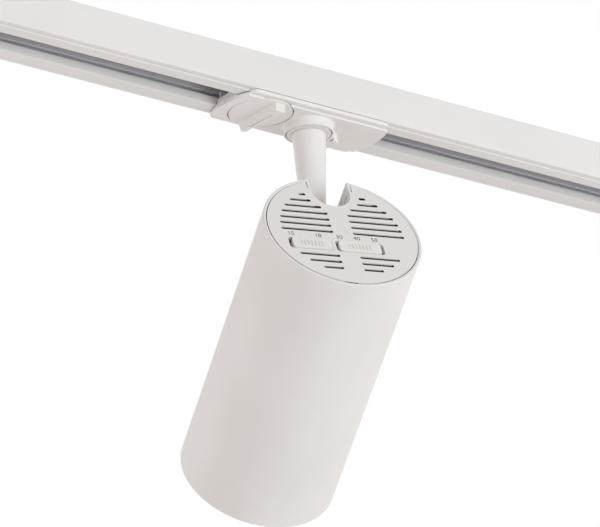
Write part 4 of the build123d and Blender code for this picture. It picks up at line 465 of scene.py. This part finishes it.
shrink = capacitor_sleeve.noise((0.004, 0.004, 0.0015), HEAD_ANGLES, 3.0)
stripe_start, stripe_blur = 0.0140, 0.0002
stripe = sleeve_across.rise(stripe_start, stripe_start + stripe_blur)
capacitor_sleeve.colour((0.018, 0.022, 0.05), (0.55, 0.56, 0.58), stripe)
capacitor_sleeve.feed("Roughness", 0.25 + 0.15 * shrink)
capacitor_sleeve.emboss(shrink, 0.00005)
capacitor_sleeve.dress("capacitors")

# Head screws: plated pan head screws with cross recesses, driven from behind or through the holder.
# They hold the switch board, the chassis plate, the bracket's foot and the emitter's holder.
POST_CIRCLE, HOLDER_FRONT = 0.0295, 0.106
post_angles = [radians(angle) for angle in (30, 150, 270)]
post_places = [(POST_CIRCLE * cos(angle), POST_CIRCLE * sin(angle)) for angle in post_angles]
for name, node, seats, axis, radius, length, head_radius, head_height in (
    ("board_pan_screws", "board_screws", [(-0.03058, -0.0107, 0.0108), (0.0204, -0.0107, 0.0108)],
     BEAM, SMALL_SCREW, 0.0066, SMALL_HEAD, PAN_HEIGHT),
    ("chassis_pan_screws", "chassis_screws", [(*spot, 0.0555) for spot in post_places],
     -BEAM, 0.0015, 0.0105, 0.0027, 0.0016),
    ("bracket_pan_screws", "bracket_screws", [(-0.01079, PIVOT_UP, 0.0535), (0.01079, PIVOT_UP, 0.0535)],
     -BEAM, SMALL_SCREW, 0.0045, SMALL_HEAD, PAN_HEIGHT),
    ("holder_pan_screws", "holder_screws", [(-0.0145, 0, HOLDER_FRONT), (0.0145, 0, HOLDER_FRONT)],
     BEAM, SMALL_SCREW, 0.009, SMALL_HEAD, PAN_HEIGHT),
):
    grids = [screw_grid(in_head(*seat), axis, radius, length, head_radius, head_height) for seat in seats]
    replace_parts(skin(name, steel, grids, "head"), node)

# Heat sink and emitter board: an aluminium extrusion with straight fins, faced in front, left bare.
# Extrusion lines run along the beam, and the bare metal is cloudy where it has been handled.
bare_aluminium = Finish("bare_aluminium", Metallic=1.0)
press_lines = bare_aluminium.noise((0.0004, 0.0004, 0.05), HEAD_ANGLES, 3.0)
handling = bare_aluminium.noise((0.012, 0.012, 0.012), detail=3.0)
metal_tone = (0.5 * press_lines + 0.5 * handling).rise(0.35, 0.65)
bare_aluminium.colour((0.76, 0.765, 0.775), (0.62, 0.625, 0.64), metal_tone)
bare_aluminium.feed("Roughness", 0.26 + 0.2 * press_lines + 0.08 * handling)
bare_aluminium.emboss(press_lines, 0.00001)
bare_aluminium.dress("heat_sink", "led_board")

# Emitter: a round dam of pale resin on the board, filled with yellow phosphor gel, under a black holder.
# The gel sinks a little in the middle and climbs the dam at its edge.
black_plastic.dress("led_holder")


def turned_grid(radius, depth, columns):
    """A surface of revolution in the lamp head: a profile of radius and depth carried round the beam."""
    angle = np.linspace(0, 2 * np.pi, columns, endpoint=False)
    shape = len(depth), columns
    reach, depth = np.broadcast_to(radius, shape), np.broadcast_to(depth, shape)
    local = np.stack([reach * np.cos(angle), reach * np.sin(angle), -depth], -1)
    return local @ np.array(HEAD_TURN).T + np.array(REAR)


phosphor = Finish("phosphor", Coat_Weight=0.5, Coat_Roughness=0.1)
dam_place = phosphor.place((1, 1, 1), HEAD_ANGLES, REAR)
dam_across, dam_up = (phosphor.axis(dam_place, name) for name in "XY")
from_beam = dam_across * dam_across + dam_up * dam_up
phosphor_grain = phosphor.noise((0.0004, 0.0004, 0.0004), detail=3.0)
gel_radius, gel_edge, gel_height, gel_climb = 0.0062, 0.0063, 0.00045, 0.00018
dam_half, board_face = 0.0004, 0.1035
phosphor.colour((0.84, 0.62, 0.07), (0.80, 0.79, 0.75), from_beam.rise(gel_radius**2, gel_edge**2))
phosphor.feed("Roughness", 0.3 + 0.25 * phosphor_grain)
phosphor.emboss(phosphor_grain, 0.00002)
dam = np.linspace(0, np.pi, 13)
dam_radius = gel_radius + dam_half * (1 - np.cos(dam))
dam_depth = board_face + dam_half * (1 + np.sin(dam))
emitter_foot = gel_radius + 2 * dam_half
gel = np.linspace(0, gel_radius, 15)
gel_depth = board_face + gel_height + gel_climb * (gel / gel_radius) ** 4
emitter_radius = np.concatenate([gel, dam_radius, [emitter_foot, emitter_foot / 2, 0]])[:, None]
emitter_depth = np.concatenate([gel_depth, dam_depth, [board_face] * 3])[:, None]
emitter_grid = turned_grid(emitter_radius, emitter_depth, 64)[::-1]
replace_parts(skin("emitter", phosphor, [emitter_grid], "head"), "led_emitter")

# Reflector: a moulded cup from holder to glass, metallised inside, with rings of small pillow facets.
# A flange at its mouth sits under the glass.
reflector_film = Finish("reflector_film", Metallic=1.0)
film_haze = reflector_film.noise((0.006, 0.006, 0.006), detail=3.0)
film_grain = reflector_film.noise((0.0003, 0.0003, 0.0003))
reflector_film.colour((0.88, 0.88, 0.89), (0.80, 0.80, 0.815), film_haze.rise(0.35, 0.7))
reflector_film.feed("Roughness", 0.06 + 0.1 * film_haze)
reflector_film.emboss(film_grain, 0.000002)


def cup_wall(start, end, first, last, steps):
    """Radius and depth along a cubic from start to end that leaves along first and arrives along last."""
    share = np.linspace(0, 1, steps)[:, None]
    span = np.hypot(*np.subtract(end, start))
    leave, arrive = span * np.array(first) / np.hypot(*first), span * np.array(last) / np.hypot(*last)
    eased = 3 * share**2 - 2 * share**3
    ends = (1 - eased) * np.array(start) + eased * np.array(end)
    return ends + (share**3 - 2 * share**2 + share) * leave + (share**3 - share**2) * arrive


rings, facets, fine, outer_rows = 9, 30, 6, 24
columns = facets * fine
throat, mouth, wall, flange_radius, flare = 0.010, 0.033, 0.0012, 0.0364, 1.2
glass_face, under_flange, facet_depth = 0.1476, 0.1464, 0.00045
inner = cup_wall((throat, HOLDER_FRONT), (mouth, glass_face), (flare, 1), (1, flare), rings * fine + 1)
outer_start, outer_end = (mouth + wall, under_flange), (throat + wall, HOLDER_FRONT)
outer = cup_wall(outer_start, outer_end, (-1, -flare), (-flare, -1), outer_rows)
facet = np.arange(columns) / fine
ring = np.arange(rings * fine + 1)[:, None] / fine
stagger = facet + 0.5 * (np.minimum(ring, rings - 0.01) // 1 % 2)
pillow = np.abs(np.sin(np.pi * ring) * np.sin(np.pi * stagger)) ** 0.7
inner_radius = inner[:, :1] - facet_depth * pillow
back = np.concatenate([[(flange_radius, glass_face), (flange_radius, under_flange)], outer])
cup_radius = np.concatenate([inner_radius, np.repeat(back[:, :1], columns, 1)])
cup_depth = np.concatenate([inner[:, 1:], back[:, 1:]])
cup = turned_grid(cup_radius, cup_depth, columns)
column = np.arange(columns)
beside = np.roll(column, -1)
row = columns * np.arange(len(cup))[:, None]
following = np.roll(row, -1, 0)
cup_faces = np.stack([row + column, row + beside, following + beside, following + column], -1)
cup_points, cup_quads = cup.reshape(-1, 3).tolist(), cup_faces.reshape(-1, 4).tolist()
reflector_cup = smooth_object("reflector_cup", reflector_film, cup_points, cup_quads)
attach(reflector_cup, "head")
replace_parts(reflector_cup, "reflector")

# Front: a toughened glass disc on the reflector's flange, held by a ring that is painted like the tube.
# The glass is clear, with a faint float wave, and the ring's bevel leads in to the glass.
clear_glass = Finish("clear_glass", Transmission_Weight=1.0, IOR=1.45, Base_Color=(0.96, 0.985, 0.98, 1))
float_wave = clear_glass.noise((0.012, 0.02, 0.012), HEAD_ANGLES)
clear_glass.feed("Roughness", 0.01 + 0.02 * float_wave)
clear_glass.emboss(float_wave, 0.00001)
clear_glass.dress("front_glass")
bezel_white = Finish("bezel_white", Specular_IOR_Level=0.4)
bezel_grain = bezel_white.noise((0.0006, 0.0006, 0.0006), detail=3.0)
bezel_cloud = bezel_white.noise((0.02, 0.02, 0.02), detail=3.0)
bezel_white.colour((0.80, 0.785, 0.772), (0.77, 0.755, 0.74), bezel_cloud.rise(0.35, 0.7))
bezel_white.feed("Roughness", 0.44 + 0.2 * bezel_grain)
bezel_white.emboss(bezel_grain, 0.00002)
bezel_white.dress("front_bezel")

# Camera: it stands below the track and to its left, with a long lens and a slight roll.
# The object fills a frame of 600 by 527.
LOOK, RISE, ROLL = radians(38.1087), radians(22.6953), radians(3.3313)
STAND = (-1.34366, -1.70052, -0.99937)
level = Vector((sin(LOOK), cos(LOOK), 0))
right = Vector((cos(LOOK), -sin(LOOK), 0))
ahead = level * cos(RISE) + Vector((0, 0, sin(RISE)))
over = Vector((0, 0, cos(RISE))) - level * sin(RISE)
camera = bpy.data.objects.new("camera", bpy.data.cameras.new("camera"))
camera.data.lens, camera.data.sensor_width = 300.22, 36
camera.data.clip_start, camera.data.clip_end = 0.1, 50
rolled_right = right * cos(ROLL) - over * sin(ROLL)
rolled_over = right * sin(ROLL) + over * cos(ROLL)
turned = Matrix((rolled_right, rolled_over, -ahead)).transposed()
camera.matrix_world = Matrix.Translation(STAND) @ turned.to_4x4()
bpy.context.scene.collection.objects.link(camera)
bpy.context.scene.camera = camera

# Studio: a plain pale floor well below the track, a white surround, and large soft lamps at a plain level.
# To the eye, in glass and in metal, floor and surround are plain white, and the floor is clear from below.
def plain_white(tree):
    """A share that is 1 for rays from the eye and for mirrored or transmitted rays, and 0 for the rest."""
    seen = tree.nodes.new("ShaderNodeLightPath")
    mirrored, share = (tree.nodes.new("ShaderNodeMath") for _ in range(2))
    mirrored.operation = share.operation = "MAXIMUM"
    tree.links.new(seen.outputs["Is Glossy Ray"], mirrored.inputs[0])
    tree.links.new(seen.outputs["Is Transmission Ray"], mirrored.inputs[1])
    tree.links.new(seen.outputs["Is Camera Ray"], share.inputs[0])
    tree.links.new(mirrored.outputs[0], share.inputs[1])
    return share.outputs[0]


world = bpy.data.worlds.new("studio")
bpy.context.scene.world = world
world.use_nodes = True
surround = world.node_tree.nodes.new("ShaderNodeMix")
surround.data_type = "RGBA"
surround.inputs[6].default_value = (0.635, 0.58, 0.555, 1)
surround.inputs[7].default_value = (1, 1, 1, 1)
world.node_tree.links.new(plain_white(world.node_tree), surround.inputs[0])
world.node_tree.links.new(surround.outputs[2], world.node_tree.nodes["Background"].inputs[0])

pale_floor = Finish("pale_floor", Base_Color=(0.85, 0.84, 0.83, 1), Roughness=0.8)
glow = pale_floor.node("ShaderNodeEmission", {}, {"Strength": 1.0})
clear = pale_floor.node("ShaderNodeBsdfTransparent", {}, {})
below = pale_floor.node("ShaderNodeNewGeometry", {}, {}, "Backfacing")
painted = Value(pale_floor, pale_floor.shader.outputs[0])
white = Value(pale_floor, plain_white(pale_floor.tree))
lit = pale_floor.node("ShaderNodeMixShader", {}, {0: white, 1: painted, 2: glow})
shown = pale_floor.node("ShaderNodeMixShader", {}, {0: below, 1: lit, 2: clear})
pale_floor.tree.links.new(shown.socket, pale_floor.tree.nodes["Material Output"].inputs[0])
FLOOR_REACH, FLOOR_HEIGHT = 8, -2.4
floor_mesh = bpy.data.meshes.new("floor")
sides = ((-1, -1), (1, -1), (1, 1), (-1, 1))
corners = [(FLOOR_REACH * x, FLOOR_REACH * y, FLOOR_HEIGHT) for x, y in sides]
floor_mesh.from_pydata(corners, [], [(0, 1, 2, 3)])
floor_mesh.materials.append(pale_floor.material)
floor = bpy.data.objects.new("floor", floor_mesh)
bpy.context.scene.collection.objects.link(floor)

LAMP_SIZE, AIM = 2.0, Vector((0, 0, -0.07))
for name, place, power, tone in (
    ("key", (0.765, -2.854, -0.591), 38.5, (0.80, 0.96, 1.0)),
    ("front_right", (1.519, -2.17, -1.478), 11, (1.0, 0.83, 0.91)),
    ("back", (-0.513, 2.909, -0.591), 18, (0.95, 0.955, 1.0)),
    ("left", (-2.954, 0.0, -0.591), 14, (0.89, 0.95, 1.0)),
):
    lamp = bpy.data.objects.new(name, bpy.data.lights.new(name, "AREA"))
    lamp.data.shape, lamp.data.size, lamp.data.energy, lamp.data.color = "DISK", LAMP_SIZE, power, tone
    lamp.location = place
    lamp.rotation_euler = (AIM - Vector(place)).to_track_quat("-Z", "Y").to_euler()
    bpy.context.scene.collection.objects.link(lamp)
bpy.context.scene.view_settings.view_transform = "Standard"
